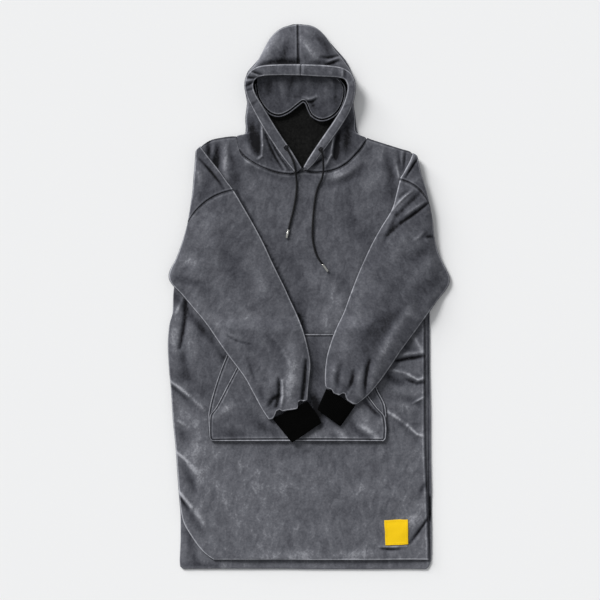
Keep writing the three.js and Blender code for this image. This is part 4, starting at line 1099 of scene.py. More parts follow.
backing = pocket_layer("pocket_back_layer", ("left", "right"), BACKING_FOOT, BACKING_TOP, "backing")
patch = pocket_layer("pocket_front_layer", ("mouth_left", "mouth_right"), PATCH_FOOT, PATCH_TOP, "patch")
print("pocket faces:", len(backing.data.polygons) + len(patch.data.polygons))

# %% [markdown]
# ## Arms
#
# A sleeve lies flat as a tube with two folded edges. Its stations are rows that give both edges, from the
# shoulder tip round the elbow to the wrist. The tube rests on whatever is under it, the body or the
# pocket, and sinks to the floor where the elbow reaches past the body. Above the cuff the sleeve is
# gathered, so its end falls in lobes with deep creases between them.

# %% Arm tables
ARM_COLUMNS = "out_x out_y in_x in_y bow"
ARM_LEFT = table(
    ARM_COLUMNS,
    (-249, 321, -238, 332, 0),
    (-250, 303, -222, 310, 0),
    (-253, 268, -196, 277, 2),
    (-257, 222, -178, 252, 8),
    (-267, 162, -165, 235, 15),
    (-277, 125, -139, 191, 10),
    (-292, 84, -114, 147, 5),
    (-304, 62, -96, 112, 0),
    (-308, 44, -81, 79, 0),
    (-301, 28, -66, 48, 0),
    (-281, 7, -53, 22, 0),
    (-255, -24, -40, -7, 0),
    (-226, -59, -26, -37, 0),
    (-200, -97, -12, -73, 0),
    (-172, -136, -2, -110, 0),
    (-143, -175, 4, -145, 0),
    (-122, -213, 2, -176, 0),
    (-103, -248, -1, -205, 0),
    (-88, -270, -2, -227, 0),
)
ARM_RIGHT = table(
    ARM_COLUMNS,
    (238, 311, 228, 317, 0),
    (242, 296, 220, 297, 0),
    (247, 272, 210, 278, 3),
    (258, 235, 204, 268, 9),
    (269, 188, 199, 259, 15),
    (273, 161, 190, 222, 9),
    (276, 132, 181, 192, 4),
    (284, 99, 158, 154, 0),
    (296, 73, 139, 120, 0),
    (307, 51, 121, 82, 0),
    (310, 35, 109, 55, 0),
    (303, 18, 98, 27, 0),
    (282, -9, 86, -5, 0),
    (260, -40, 75, -35, 0),
    (231, -80, 60, -66, 0),
    (203, -118, 48, -97, 0),
    (179, -154, 39, -128, 0),
    (152, -191, 35, -156, 0),
    (128, -218, 34, -183, 0),
    (104, -237, 36, -198, 0),
)
ARMHOLE_ROW = 4

# %% Sleeve folds and lobes
SLEEVE_FOLDS = table(
    FOLD_COLUMNS,
    # right upper arm
    (261, 205, 202, 162, -1, 3.0, -5.2, 0.8),
    (202, 162, 172, 136, 0, 4.5, -2.8, 1),
    (252, 207, 210, 180, 0, 2.0, 2.4, 1),
    (244, 229, 193, 179, 0, 4.2, -2.8, 1),
    (228, 233, 184, 190, 3.3, 2.4, 3.6, 0.8),
    (216, 231, 200, 219, 1, 3.0, -2.2, 1),
    (186, 190, 168, 144, -1, 6, 1.0, 1),
    (192, 180, 160, 112, -2, 5, -1.8, 1),
    (212, 132, 176, 76, 3, 13, 1.2, 1),
    (252, 141, 231, 124, -1, 2.8, 2.2, 0.8),
    (277, 131, 258, 131, 1, 3.4, -3.4, 1),
    (262, 144, 246, 128, 0, 5, -1.4, 1),
    # right elbow and forearm
    (262, 108, 234, 84, 0, 10, -1.4, 1),
    (286, 84, 236, 40, 3, 13, 1.0, 1),
    (300, 30, 262, -24, 3, 9, 1.4, 1),
    (292, 48, 240, 10, 0, 14, -0.9, 1),
    (226, -20, 152, -146, 5, 10, 1.6, 1),
    (206, -24, 140, -120, 4, 14, -1.2, 1),
    (180, -20, 124, -120, 4, 20, -0.9, 1),
    (120, 60, 92, -60, -4, 18, 1.0, 1),
    (88, -40, 62, -160, 0, 20, 0.9, 1),
    # right wrist
    (133, -140, 124, -218, 3, 4, -4.2, 0.8),
    (143, -156, 136, -206, 0, 7, 1.8, 1),
    (92, -196, 84, -216, 0, 4, 2.4, 1),
    (98, -164, 82, -214, -3, 4.5, -3.4, 0.8),
    (112, -164, 108, -214, 0, 7, 1.4, 1),
    (70, -150, 64, -196, 3, 6, -2.2, 1),
    (56, -150, 52, -196, 0, 7, 1.2, 1),
    # left wrist
    (-6, -140, -14, -226, -1, 4.0, -7.0, 0.9),
    (-11, -186, -15, -228, 0, 5.0, -1.6, 1),
    (-59, -182, -61, -242, -2, 2.8, 3.2, 1),
    (3, -140, -2, -222, 0, 4, 1.6, 1),
    (-66, -180, -71, -240, -3, 3.6, -4.4, 0.9),
    (-36, -120, -46, -230, -3, 13, 2.0, 1),
    (-62, -216, -88, -238, 4, 4.5, -3.8, 1),
    (-80, -186, -100, -238, 2, 8, 1.2, 1),
    (-132, -136, -117, -184, 2, 3.6, -2.0, 1),
    (-106, -204, -98, -228, 0, 6, -1.6, 1),
    # left forearm and elbow
    (-78, -86, -42, -150, -4, 5, 1.6, 1),
    (-72, -94, -38, -160, -4, 9, -0.9, 1),
    (-102, -60, -66, -128, -4, 14, -1.0, 1),
    (-182, -82, -125, -103, 5, 2.6, -1.8, 1),
    (-262, 12, -152, -110, 6, 16, 1.4, 1),
    (-300, 44, -232, 30, 4, 9, -1.2, 1),
    (-286, 92, -230, 70, 3, 14, 1.0, 1),
    # left upper arm
    (-190, 120, -150, 40, 6, 22, -1.1, 1),
    (-232, 170, -206, 96, 6, 20, 1.0, 1),
    (-128, 90, -96, 10, 3, 18, 1.0, 1),
    (-150, -10, -104, -80, 4, 20, 0.9, 1),
    # dropped shoulders, left and right
    (-240, 302, -186, 237, -2, 2.8, -3.4, 1),
    (-246, 296, -236, 240, 0, 9, 1.2, 1),
    (-214, 268, -236, 220, 0, 12, -0.9, 1),
    (240, 304, 213, 262, 1, 2.4, -3.8, 1),
    (233, 310, 211, 272, 0, 3.0, 1.6, 1),
    (244, 262, 226, 250, 0, 6, 1.4, 1),
)
LOBES_LEFT = table(
    "u reach",
    (0.0, 0),
    (0.09, 2),
    (0.18, -3),
    (0.26, -9),
    (0.33, -9),
    (0.37, -3),
    (0.48, 0),
    (0.6, 4),
    (0.69, 6),
    (0.73, 3),
    (0.78, -6),
    (0.84, -6),
    (0.9, -2),
    (0.97, -1),
    (1.0, -1),
)
LOBES_RIGHT = table(
    "u reach",
    (0.0, -1),
    (0.12, 3),
    (0.26, 2.5),
    (0.36, -2),
    (0.44, -8),
    (0.5, -6),
    (0.56, 1),
    (0.7, 2.5),
    (0.82, -2),
    (0.93, 0),
    (1.0, -1),
)
LOBE_FADE = 60.0

# %% Arm helpers
SLEEVE_HEIGHT = 12.6
SLEEVE_GAP = 0.5
SLEEVE_PUFF = 3.0
PUFF_FADE = 60.0
BESIDE_BODY = 34.0
BESIDE_START = 5.0
FLOOR_GAP = 0.5
POCKET_RAMP = 34.0
RAMP_START = 8.0
POCKET_FOOT, POCKET_TOP = -317, -83
FINE_STEPS = 600  # steps in which the length of a curve is measured


def outside_pocket(x, y):
    left = by_key(POCKET_SIDES, "y", y, "left")
    right = by_key(POCKET_SIDES, "y", y, "right")
    return np.maximum(np.maximum(left - x, x - right), np.maximum(POCKET_FOOT - y, y - POCKET_TOP))


def sleeve_under(x, y):
    """Height of the under face of a sleeve that lies on the body, the pocket or the floor."""
    beside = smooth((inside_sides(x, y) + BESIDE_START + BESIDE_BODY) / BESIDE_BODY)
    ramp = 1 - smooth((outside_pocket(x, y) - RAMP_START) / POCKET_RAMP)
    resting = front_under(x, y) + CLOTH + SLEEVE_GAP
    return mix(FLOOR_GAP, resting, beside) + 2 * (POCKET_CLOTH + LAYER_GAP) * ramp


def stations(rows, first, last, count, trim):
    """Columns of row numbers, closer near both ends, of distances to the nearer end and to the last."""
    at = np.linspace(first, last, FINE_STEPS)
    x = (along(rows, at, "out_x") + along(rows, at, "in_x")) / 2
    y = (along(rows, at, "out_y") + along(rows, at, "in_y")) / 2
    gone = gone_along(x, y)
    here = mix(trim, gone[-1] - trim, spread(count, gone[-1] - 2 * trim))[:, None]
    to_end = gone[-1] - trim - here
    return np.interp(here, gone, at), np.minimum(here - trim, to_end), to_end


def arm_edges(rows, at):
    """Middle of the arm at stations, the way from there to its inner edge, and the length of that."""
    outer_edge = np.stack([along(rows, at, "out_x"), along(rows, at, "out_y")], axis=-1)
    inner_edge = np.stack([along(rows, at, "in_x"), along(rows, at, "in_y")], axis=-1)
    half = (inner_edge - outer_edge) / 2
    return (inner_edge + outer_edge) / 2, half, np.linalg.norm(half, axis=-1)


def flat_oval(angle, power):
    """Height round a flat tube or roll, from 1 on top through its two folds to -1 below."""
    return np.sqrt(1 - np.abs(np.cos(angle)) ** power) * np.sign(np.sin(angle) + 1e-9)


def arm_tube(name, rows, first, last, count, around, material, nap, lobes=None):
    """Flat tube of cloth along an arm. One with lobes is a sleeve, sewn only at its first end."""
    at, away, to_end = stations(rows, first, last, count, SEAM_GAP / 2)
    middle, half, size = arm_edges(rows, at)
    turn = 1 if rows["out_x"][0] < rows["in_x"][0] else -1
    upward = turn * np.stack([-half[..., 1], half[..., 0]], axis=-1) / size[..., None]
    angle = turns(around)[None, :]
    full = flat_oval(angle, 4)
    upper = np.clip(full, 0, 1)
    rolled = (1 - rounding(away)) * CLOTH / 2
    faces, folded = [], []
    for shrink in (rolled, CLOTH - rolled):
        across = np.cos(angle) * (1 - shrink / size)
        bow = along(rows, at, "bow") * (1 - across**2)
        puff = 0.0
        if lobes is not None:
            reach = by_key(lobes, "u", (across + 1) / 2, "reach")
            bow = bow - reach * smooth(1 - to_end / LOBE_FADE)
            puff = SLEEVE_PUFF * (1 - across**2) * smooth(away / PUFF_FADE)
        x = middle[..., 0] + half[..., 0] * across + upward[..., 0] * bow
        y = middle[..., 1] + half[..., 1] * across + upward[..., 1] * bow
        folded.append(upper * folds_at(SLEEVE_FOLDS, x, y))
        uneven = unevenness(x, y, 34, 1.3, 5.5) + unevenness(x, y, 13, 0.45, 2.2)
        rise = folded[-1] + upper * (puff + uneven)
        z = sleeve_under(x, y) + SLEEVE_HEIGHT / 2 + (SLEEVE_HEIGHT / 2 - shrink) * full + rise
        faces.append(np.stack([x, y, z], axis=-1))
    to_seam, to_fold = to_end, size * (1 - np.abs(np.cos(angle)))
    if lobes is not None:
        to_seam = np.where(to_end > LOBE_FADE, away, np.inf)
        to_fold = np.minimum(to_fold, to_end)
    return tube(name, *faces, material, None, nap + painted_light_at(folded[0], to_seam, to_fold))


# %% [markdown]
# The dropped shoulder is the piece above the armhole seam, folded over onto the front. It and the sleeve
# are made by the same function from the same rows, so their edges meet along the seam.

# %% Shoulders and sleeves
SHADED_NAP = -0.13  # pile that lies away from the light
SHOULDER_GRID = (40, 128)  # steps along the arm, and points round it
SLEEVE_GRID = (190, 144)

arms = {}
for side, rows, material, nap, lobes in (
    ("left", ARM_LEFT, LEFT_ARM_PLUSH, 0.0, LOBES_LEFT),
    ("right", ARM_RIGHT, RIGHT_ARM_PLUSH, SHADED_NAP, LOBES_RIGHT),
):
    wrist_row = count_rows(rows) - 1
    arms["shoulder_" + side] = arm_tube(
        "dropped_shoulder_" + side, rows, 0, ARMHOLE_ROW, *SHOULDER_GRID, material, SHADED_NAP
    )
    arms["sleeve_" + side] = arm_tube(
        "sleeve_shell_" + side, rows, ARMHOLE_ROW, wrist_row, *SLEEVE_GRID, material, nap, lobes
    )
print({name: len(piece.data.polygons) for name, piece in arms.items()})

# %% [markdown]
# ## Ribbed cuffs
#
# A rib cuff is a knitted tube whose ribs run along the arm. The ribs are raised on the outside of the wall
# over a plain inside, with a rounded crest and a narrow valley, and the knit loops are left to the
# material's relief.

# %% Cuffs
CUFF_HEIGHT = 9.0
RIB_CLOTH = 3.2
CUFF_RIBS = 60
POINTS_EACH_RIB = 6
RIB_RISE = 0.8
RIB_CREST = 0.6  # power of a cosine; below 1 it widens the crest and narrows the valley
CUFF_LEFT = table(
    ARM_COLUMNS,
    (-80, -267, -3, -228.5, 0),
    (-58, -294, 14, -252, 0),
    (-37, -320, 28, -276, 0),
)
CUFF_RIGHT = table(
    ARM_COLUMNS,
    (102, -237.5, 38.5, -201, 0),
    (86, -261, 28, -224, 0),
    (69, -284, 18.5, -247, 0),
)


def cuff(name, rows):
    at, away, to_edge = stations(rows, 0, count_rows(rows) - 1, 26, 0)
    middle, half, size = arm_edges(rows, at)
    around = CUFF_RIBS * POINTS_EACH_RIB
    angle = turns(around)[None, :]
    full = flat_oval(angle, 4)
    valley = RIB_RISE * (1 - np.abs(np.cos(angle * CUFF_RIBS / 2)) ** RIB_CREST)
    rolled = (1 - rounding(away)) * RIB_CLOTH / 2
    faces = []
    for shrink in (rolled + valley, RIB_CLOTH - rolled):
        across = np.cos(angle) * (1 - shrink / size)
        x = middle[..., 0] + half[..., 0] * across
        y = middle[..., 1] + half[..., 1] * across
        waves = unevenness(x, y, 22, 1.1, 7.7) * np.clip(full, 0, 1)
        z = sleeve_under(x, y) + CUFF_HEIGHT / 2 + (CUFF_HEIGHT / 2 - shrink) * full + waves
        faces.append(np.stack([x, y, z], axis=-1))
    u = np.tile(np.arange(around) / around, (len(at), 1))
    v = np.tile(to_edge, (1, around))
    uv = np.stack([u, v], axis=-1).reshape(-1, 2)
    return tube(name, *faces, RIB_KNIT, np.concatenate([uv, uv]))


cuffs = {"left": cuff("rib_cuff_left", CUFF_LEFT), "right": cuff("rib_cuff_right", CUFF_RIGHT)}
print("cuff faces:", {side: len(piece.data.polygons) for side, piece in cuffs.items()})

# %% [markdown]
# ## Hood
#
# The hood is two halves with a seam over the crown, and it lies on its own back half. Each upper half is
# drawn on spokes, from the casing round the face to the outer fold and, lower down, to the neck seam. The
# crown stands up from the outer fold to the casing, and the sides hang in deep folds below the cheeks.

# %% Hood tables
SPOKES = "in_x in_y out_x out_y rim foot puff"
HOOD_LEFT = table(
    SPOKES,
    (-23.2, 498, -25, 600.4, 27, 9.4, 5),
    (-63, 498, -59, 592, 27, 9.4, 5),
    (-98, 496, -86, 568, 26.6, 9.4, 4),
    (-118, 488, -113, 519, 26, 9.4, 1),
    (-127, 473, -136, 491, 25, 9.4, 0),
    (-128, 451, -141, 462, 23.8, 9.4, 0),
    (-117, 425, -136, 426, 22, 9.4, 0),
    (-102, 400, -140, 392, 20.2, 9.4, 1),
    (-90, 376, -139, 361, 18.6, 9.6, 2),
    (-81, 363, -159, 352.5, 17.4, 10.6, 2),
    (-72, 350, -155, 330, 16.4, 11.8, 2),
    (-63, 336, -148, 315, 15.4, 12, 2),
    (-55, 324, -129, 299, 14.6, 12, 1.5),
    (-46, 311, -103, 285.5, 13.8, 12, 1),
    (-38, 300, -67, 273.5, 13.2, 12, 0.5),
    (-31, 291, -38, 270.5, 12.6, 12, 0),
    (-25, 286, -19, 275.5, 12.4, 12, 0),
)
HOOD_RIGHT = table(
    SPOKES,
    (-22.8, 498, -24.6, 600.4, 27, 9.4, 5),
    (20, 497, 8, 596, 27, 9.4, 5),
    (51, 494, 32, 579, 26.6, 9.4, 4),
    (70, 490, 54, 548, 26, 9.4, 2.5),
    (83, 482, 77, 519, 25.4, 9.4, 1),
    (90, 468, 95, 491, 25, 9.4, 0),
    (92, 449, 102, 460, 23.8, 9.4, 0),
    (84, 420, 98.5, 427, 22, 9.4, 0),
    (73, 400, 103, 394, 20.2, 9.4, 1),
    (62, 384, 104.5, 362, 18.6, 9.6, 2),
    (52, 368, 126.5, 349, 17.4, 10.6, 2),
    (42, 353, 120, 335, 16.4, 11.8, 2),
    (32, 339, 107, 318, 15.4, 12, 2),
    (21, 324, 82, 293.5, 14.4, 12, 1),
    (12, 310, 53, 279, 13.4, 12, 0.5),
    (3, 299, 18, 274, 12.6, 12, 0),
    (-5, 289, -11, 277, 12.4, 12, 0),
)
HOOD_FOLDS = table(
    FOLD_COLUMNS,
    # left cheek, down to the neck
    (-125, 386, -114, 318, 3, 11, -3.4, 0.9),
    (-110, 372, -108, 314, 0, 6, -1.8, 1),
    (-102.5, 376, -101.5, 332, 0.5, 3.0, 3.6, 0.8),
    (-101.5, 332, -103, 310, 0, 3.0, 3.4, 0.8),
    (-103, 310, -112, 302, 0, 3.0, 2.4, 1),
    (-94, 356, -56, 280, 3, 3.4, -3.8, 1),
    (-89, 350, -50, 280, 3, 3.4, 2.2, 1),
    (-83, 344, -41, 277, 3, 3.0, -3.4, 1),
    (-136, 330, -116, 304, 3, 6, 1.6, 1),
    (-92, 330, -78, 288, 0, 9, -1.2, 1),
    # right cheek, down to the neck
    (57, 366, 50, 312, 1, 3.0, 3.6, 0.8),
    (50, 312, 36, 286, 1, 3.0, 3.2, 1),
    (64, 362, 58, 306, 0, 6, -3.6, 1),
    (86, 388, 80, 326, 0, 15, -3.2, 1),
    (64, 326, 60, 300, 0, 9, -1.4, 1),
    (2, 296, 32, 318, 0, 3.4, 2.4, 1),
    (10, 290, 34, 306, 0, 3.4, -3.0, 1),
    # crown
    (28, 526, 66, 531, 3, 4, -3.0, 0.8),
    (38, 508, 64, 519, 0, 4, -4.0, 1),
    (44, 516, 68, 526, 0, 4, 2.4, 1),
    (-80, 515, -22, 515, 0, 7, -3.4, 1),
    (-110, 506, -80, 514, 0, 6, -2.6, 1),
    (6, 514, 40, 512, 0, 5, -1.4, 1),
    (-10, 580, 14, 530, 6, 12, 1.6, 1),
    (20, 570, 44, 536, -4, 9, -1.8, 1),
    (-70, 574, -94, 520, 6, 12, 1.8, 1),
    (-46, 552, -60, 518, 0, 10, -1.6, 1),
    (62, 552, 82, 516, 0, 4, 2.6, 1),
    # temples
    (-130, 452, -120, 420, 0, 6, -2.0, 1),
    (100, 440, 90, 420, 0, 6, -1.6, 1),
)

# %% Hood shells
HOOD_EDGE = 640.0
SPOKE_LENGTH = 90.0
OVER_UNDER_HALF = 0.3  # least air between the half below and the upper one
TURN_UNDER = 13.0  # the outer fold comes down on the half below within this distance
CHIN_SPOKE = 9  # below it the outer ends are the neck seam
OUT_OF_REACH = 60.0  # added to a distance where the fold or seam isn't there
FOLD_FADE, CASING_FADE = 9.0, 16.0  # folds fade out over these distances from the fold and the casing
HOOD_GLOW = 0.8
# the whole hood is drawn a little darker
HOOD_DARKER = -0.12


def hood_half(name, rows):
    """Upper half of the hood, drawn from the outer ends of its spokes up to the casing."""
    share = spread(260, HOOD_EDGE)[:, None]
    at = share * (count_rows(rows) - 1)
    t = np.concatenate([np.linspace(0, 1, 60) ** 1.3, EDGE_MM[:5] / SPOKE_LENGTH])
    t = np.unique(t)[None, :]
    spoke = {column: along(rows, at, column) for column in rows}
    length = np.hypot(spoke["in_x"] - spoke["out_x"], spoke["in_y"] - spoke["out_y"])
    reach = mix(SEAM_GAP / length, 1, t)
    x = mix(spoke["out_x"], spoke["in_x"], reach)
    y = mix(spoke["out_y"], spoke["in_y"], reach)
    rise = np.sin(np.pi / 2 * t) ** 0.8
    top = mix(spoke["foot"], spoke["rim"], rise) + spoke["puff"] * np.sin(np.pi * t)
    folded = folds_at(HOOD_FOLDS, x, y)
    swell = folded + unevenness(x, y, 26, 1.2, 4.4) + unevenness(x, y, 10, 0.4, 1.7)
    extra = swell * smooth(t * length / FOLD_FADE) * smooth((1 - t) * length / CASING_FADE)
    over, lower = lift((x, y), top - CLOTH, CLOTH, extra)
    lowest = CLOTH + OVER_UNDER_HALF
    follow = np.maximum(np.minimum(lower[..., 2] + extra, over[..., 2] - THINNEST), lowest)
    below_chin = smooth((at - CHIN_SPOKE) / 1.5)
    turned_under = (1 - smooth(t * length / TURN_UNDER)) * (1 - below_chin)
    lower[..., 2] = mix(follow, lowest, turned_under)
    to_neck = t * length + OUT_OF_REACH * (1 - below_chin)
    to_outer = t * length + OUT_OF_REACH * below_chin
    to_seam = np.minimum(share * HOOD_EDGE, to_neck)
    painted_light = HOOD_DARKER + painted_light_at(folded, to_seam, to_outer, HOOD_GLOW)
    return wall(name, over, lower, HOOD_PLUSH, painted_light)


hood_left = hood_half("hood_shell_left", HOOD_LEFT)
hood_right = hood_half("hood_shell_right", HOOD_RIGHT)
print("hood faces:", len(hood_left.data.polygons), len(hood_right.data.polygons))

# %% [markdown]
# The half of the hood that lies on the floor, and the black lining on it, are flat walls by rows. The
# lining shows in the opening under the mask, so it gets a few soft wrinkles.

# %% Hood back and lining
HOOD_BACK = table(
    "y left right",
    (359, -137, 106),
    (392, -140, 103),
    (425, -136, 98.5),
    (460, -141, 102),
    (490, -137, 95.5),
    (519, -113.5, 82),
    (545, -95, 60),
    (568, -83, 39.5),
    (584, -69, 26),
    (594, -53, 11),
    (600, -34, -16),
)
LINING_ROWS = table(
    "y left right",
    (380, -130, 94),
    (425, -124, 89),
    (462, -128, 92),
    (488, -121, 83),
    (518, -100, 66),
    (548, -84, 45),
    (574, -66, 24),
    (588, -44, -2),
)
LINING_FOOT = table(
    "x y",
    (-141, 338),
    (-137, 321),
    (-122, 308),
    (-98, 294),
    (-65, 283),
    (-37, 279.5),
    (-18, 284),
    (-8, 285),
    (17, 283),
    (49, 288),
    (73, 301),
    (96, 323),
    (108, 338),
)
LINING_FOLDS = table(
    FOLD_COLUMNS,
    (-60, 372, -30, 310, 4, 8, 1.6, 1),
    (-20, 400, -18, 330, 3, 9, -0.8, 1),
    (10, 372, 4, 320, 3, 8, 1.4, 1),
    (-80, 394, 40, 396, 8, 9, 1.6, 1),
)
LINING = 2.0
FOOT_SHARE = 0.985
FOOT_PART = 0.16  # share of the height over which the foot's curve straightens
FLAT_ROLL = 1.0  # radius to which these hidden rims roll
DEEPEST_WRINKLE = -0.3
WRINKLE_FADE = 8.0


def flat_rows(foot, rows, columns_count, rows_count):
    """Grid from a shaped lower edge up through rows that give a left and a right end."""
    foot_x, foot_y = (values[:, None] for values in sample(foot, spread(columns_count, 230)))
    share = (foot_x - foot_x[0]) / (foot_x[-1] - foot_x[0])
    v = spread(rows_count, 260)[None, :]
    part = np.clip(v / FOOT_PART, 0, 1)
    low_x = mix(foot_x, mix(rows["left"][0], rows["right"][0], share), part)
    low_y = mix(foot_y, rows["y"][0], part)
    high_y = by_key({"v": np.linspace(FOOT_PART, 1, count_rows(rows)), **rows}, "v", v, "y")
    high_x = mix(by_key(rows, "y", high_y, "left"), by_key(rows, "y", high_y, "right"), share)
    low = v < FOOT_PART
    return np.where(low, low_x, high_x), np.where(low, low_y, high_y)


hood_foot = {"x": BACK_NECK["x"] * FOOT_SHARE, "y": BACK_NECK["y"]}
under_grid = flat_rows(hood_foot, HOOD_BACK, 60, 60)
under_over, under_lower = lift(under_grid, np.zeros(under_grid[0].shape), CLOTH, 0.0, FLAT_ROLL)
under_lower[..., 2] = 0
hood_under = wall("hood_under_half", under_over, under_lower, HOOD_PLUSH)

lining_grid = flat_rows(LINING_FOOT, LINING_ROWS, 70, 70)
wrinkles = folds_at(LINING_FOLDS, *lining_grid) + unevenness(*lining_grid, 24, 0.7, 6.3)
wrinkles = np.maximum(wrinkles, DEEPEST_WRINKLE) * smooth(distance_to_rim(*lining_grid) / WRINKLE_FADE)
lining_rest = np.full(lining_grid[0].shape, CLOTH + SEAM_GAP)
lining_over, lining_lower = lift(lining_grid, lining_rest, LINING, wrinkles, FLAT_ROLL)
lining = wall("hood_fleece_lining", lining_over, lining_lower, LINING_FLEECE)
print("lining faces:", len(lining.data.polygons))

# %% [markdown]
# ## Drawstring casing
#
# The edge of the hood is rolled into a casing round the cord. It is a flat roll along a curve, about 25 mm
# wide, that narrows where it turns at the temples. Its two halves meet at a seam over the forehead. Small
# pleats pucker the inside of the tight turn.

# %% Casing
BAND_COLUMNS = "x y width z"
BAND_LEFT = table(
    BAND_COLUMNS,
    (-17.5, 498, 26, 31.6),
    (-68, 498, 25, 31.9),
    (-106, 495, 24, 31.4),
    (-125, 484, 22, 30.2),
    (-131.5, 465, 20, 29.2),
    (-126, 441, 21, 27.8),
    (-108.5, 409, 24, 25.6),
    (-88, 374, 25, 23.2),
    (-68, 343, 25, 20.6),
    (-48, 314, 25, 18.4),
    (-22.5, 277.5, 19, 16.5),
)
BAND_RIGHT = table(
    BAND_COLUMNS,
    (-16.9, 498, 26, 31.6),
    (25, 496, 27, 31.6),
    (64, 493, 25, 31),
    (85, 484, 21, 30.2),
    (93.5, 464, 19, 29.2),
    (91, 439, 20, 27.8),
    (80, 409, 21, 26),
    (63, 381, 21, 24.2),
    (45, 355, 21, 22.4),
    (25, 327, 20, 20),
    (6.5, 300.5, 18, 18),
    (-8, 281.5, 12, 17.2),
)
BAND_HALF_HEIGHT = 4.0
ROLL_CAP = 3.0  # radius to which a roll is rounded off at its ends
ROLL_TAPER = 2.0  # and how much narrower each half gets there
BAND_FOLDS = table(
    FOLD_COLUMNS,
    (-134, 500, -102, 487, 2, 2.8, -3.4, 1),
    (-130, 494, -106, 482, 0, 2.4, 2.2, 1),
    (-138, 482, -116, 479, 0, 2.8, -3.4, 1),
    (-138, 462, -120, 472, 0, 2.8, -3.2, 1),
    (-138, 474, -122, 475, 0, 2.2, 1.8, 1),
    (-136, 452, -122, 456, 0, 2.6, -1.8, 1),
    (-44, 510, -46, 488, 0, 5, -0.4, 1),
    (-76, 510, -80, 488, 0, 8, -0.5, 1),
    (-24, 511, -22, 487, 0, 2.4, 1.2, 1),
    (-11, 511, -12, 486, 0, 2.4, 1.2, 1),
    (10, 510, 8, 486, 0, 6, -0.4, 1),
    (40, 508, 38, 484, 0, 4, -0.5, 1),
    (52, 504, 50, 490, 0, 3, 0.8, 1),
    (74, 504, 74, 478, 0, 2.6, 1.8, 1),
    (80, 502, 80, 478, 0, 2.6, -1.8, 1),
    (92, 490, 98, 474, 0, 3, 1.2, 1),
    (88, 420, 74, 414, 0, 3, -1.0, 1),
    (66, 392, 76, 380, 0, 3, 1.0, 1),
    (-112, 430, -126, 420, 0, 3, -1.2, 1),
    (-100, 398, -84, 384, 0, 4, -0.9, 1),
)


def roll_swell(x, y):
    return unevenness(x, y, 14, 0.7, 9.1)


def roll_rings(rows, half_height, count, around, folds, glow):
    """Rings of a flat roll along rows of x, y, z and width, rounded off at both ends, and their painted
    light.
    """
    dense = np.linspace(0, count_rows(rows) - 1, FINE_STEPS)
    gone = gone_along(along(rows, dense, "x"), along(rows, dense, "y"))
    here = spread(count, gone[-1]) * gone[-1]
    at = np.interp(here, gone, dense)
    centre = np.stack([along(rows, at, column) for column in "xyz"], axis=-1)
    forward = np.gradient(centre[:, :2], here, axis=0)
    forward /= np.linalg.norm(forward, axis=1)[:, None]
    cap = rounding(np.minimum(here, gone[-1] - here), ROLL_CAP)[:, None]
    half_width = along(rows, at, "width")[:, None] / 2
    angle = turns(around)[None, :]
    across = np.cos(angle) * (half_width - (1 - cap) * ROLL_TAPER)
    full = flat_oval(angle, 3)
    upper = np.clip(full, 0, 1)
    x = centre[:, :1] - forward[:, 1:] * across
    y = centre[:, 1:2] + forward[:, :1] * across
    folded = upper * folds_at(folds, x, y)
    z = centre[:, 2:] + cap * (half_height * full + folded + upper * roll_swell(x, y))
    to_fold = half_width * (1 - np.abs(np.cos(angle)))
    return np.stack([x, y, z], axis=-1), painted_light_at(folded, to_fold=to_fold, glow=glow)


def casing(name, rows):
    rings, painted_light = roll_rings(rows, BAND_HALF_HEIGHT, 210, 56, BAND_FOLDS, 0.85)
    return roll_solid(name, rings, HOOD_PLUSH, None, painted_light)


casing_left = casing("casing_roll_left", BAND_LEFT)
casing_right = casing("casing_roll_right", BAND_RIGHT)
print("casing faces:", len(casing_left.data.polygons) + len(casing_right.data.polygons))

# %% [markdown]
# ## Sleep mask
#
# The mask is a padded double layer sewn under the casing. Its lower edge follows the cheeks, with a notch
# for the nose, and a rolled binding finishes it. Next to the binding runs a sunk stitch line, which makes
# the edge read as a double line.

# %% Mask
MASK_EDGE = table(
    "x y top_x top_y",
    (-119.5, 468, -113, 492),
    (-114.5, 439, -107, 498),
    (-103, 417.5, -98, 501),
    (-88.5, 402, -86, 502),
    (-74, 395.5, -74, 502),
    (-60, 395.5, -62, 502),
    (-43, 403, -47, 502),
    (-29, 413.5, -34, 502),
    (-17, 423, -23, 502),
    (-11.5, 426, -15, 502),
    (-7, 420, -9, 502),
    (-2.5, 408, -3, 502),
    (4.5, 396, 4, 502),
    (16.5, 388, 14, 502),
    (28.5, 385, 24, 502),
    (43, 388, 34, 501),
    (57, 396, 42, 501),
    (69, 409, 49, 500),
    (77.5, 427, 54, 499),
    (81.5, 448, 58, 498),
    (79.5, 464, 60, 496),
    (72, 475, 61, 493),
    (64, 482, 61, 489),
)
MASK_CLOTH = 4.0
MASK_LOW = 13.0
MASK_LIFT = 5.0
LIFT_FROM, LIFT_OVER = 440, 60
# painted shade: the mask sits recessed under the casing, in its shade, so it is drawn darker all over
MASK_PAINTED_SHADE = -0.38
MASK_ROLL = 1.6  # radius to which its rim rolls
PIPING_WIDTH = 3.4
PIPING_HALF_HEIGHT = 2.0
PIPING_GAP = 2.2
MASK_STITCH_IN = 1.4
MASK_FOLDS = table(
    FOLD_COLUMNS,
    (-6, 430, 14, 434, 3, 3.6, -3.4, 0.8),
    (-10, 437, 16, 440, 4, 4, 2.6, 1),
    (8, 424, 14, 412, 0, 5, -1.6, 1),
    (-60, 478, -56, 440, 2, 7, 1.2, 1),
    (-36, 482, -44, 432, 2, 6, -0.9, 1),
    (-88, 480, -84, 440, 2, 7, -1.0, 1),
    (44, 476, 36, 440, 2, 7, 1.4, 1),
    (62, 474, 58, 430, 0, 6, -1.0, 1),
    (54, 462, 48, 476, 0, 4, 1.6, 1),
    (-2, 484, 4, 456, 0, 7, 0.9, 1),
    (-20, 480, -24, 450, 0, 6, 0.8, 1),
)


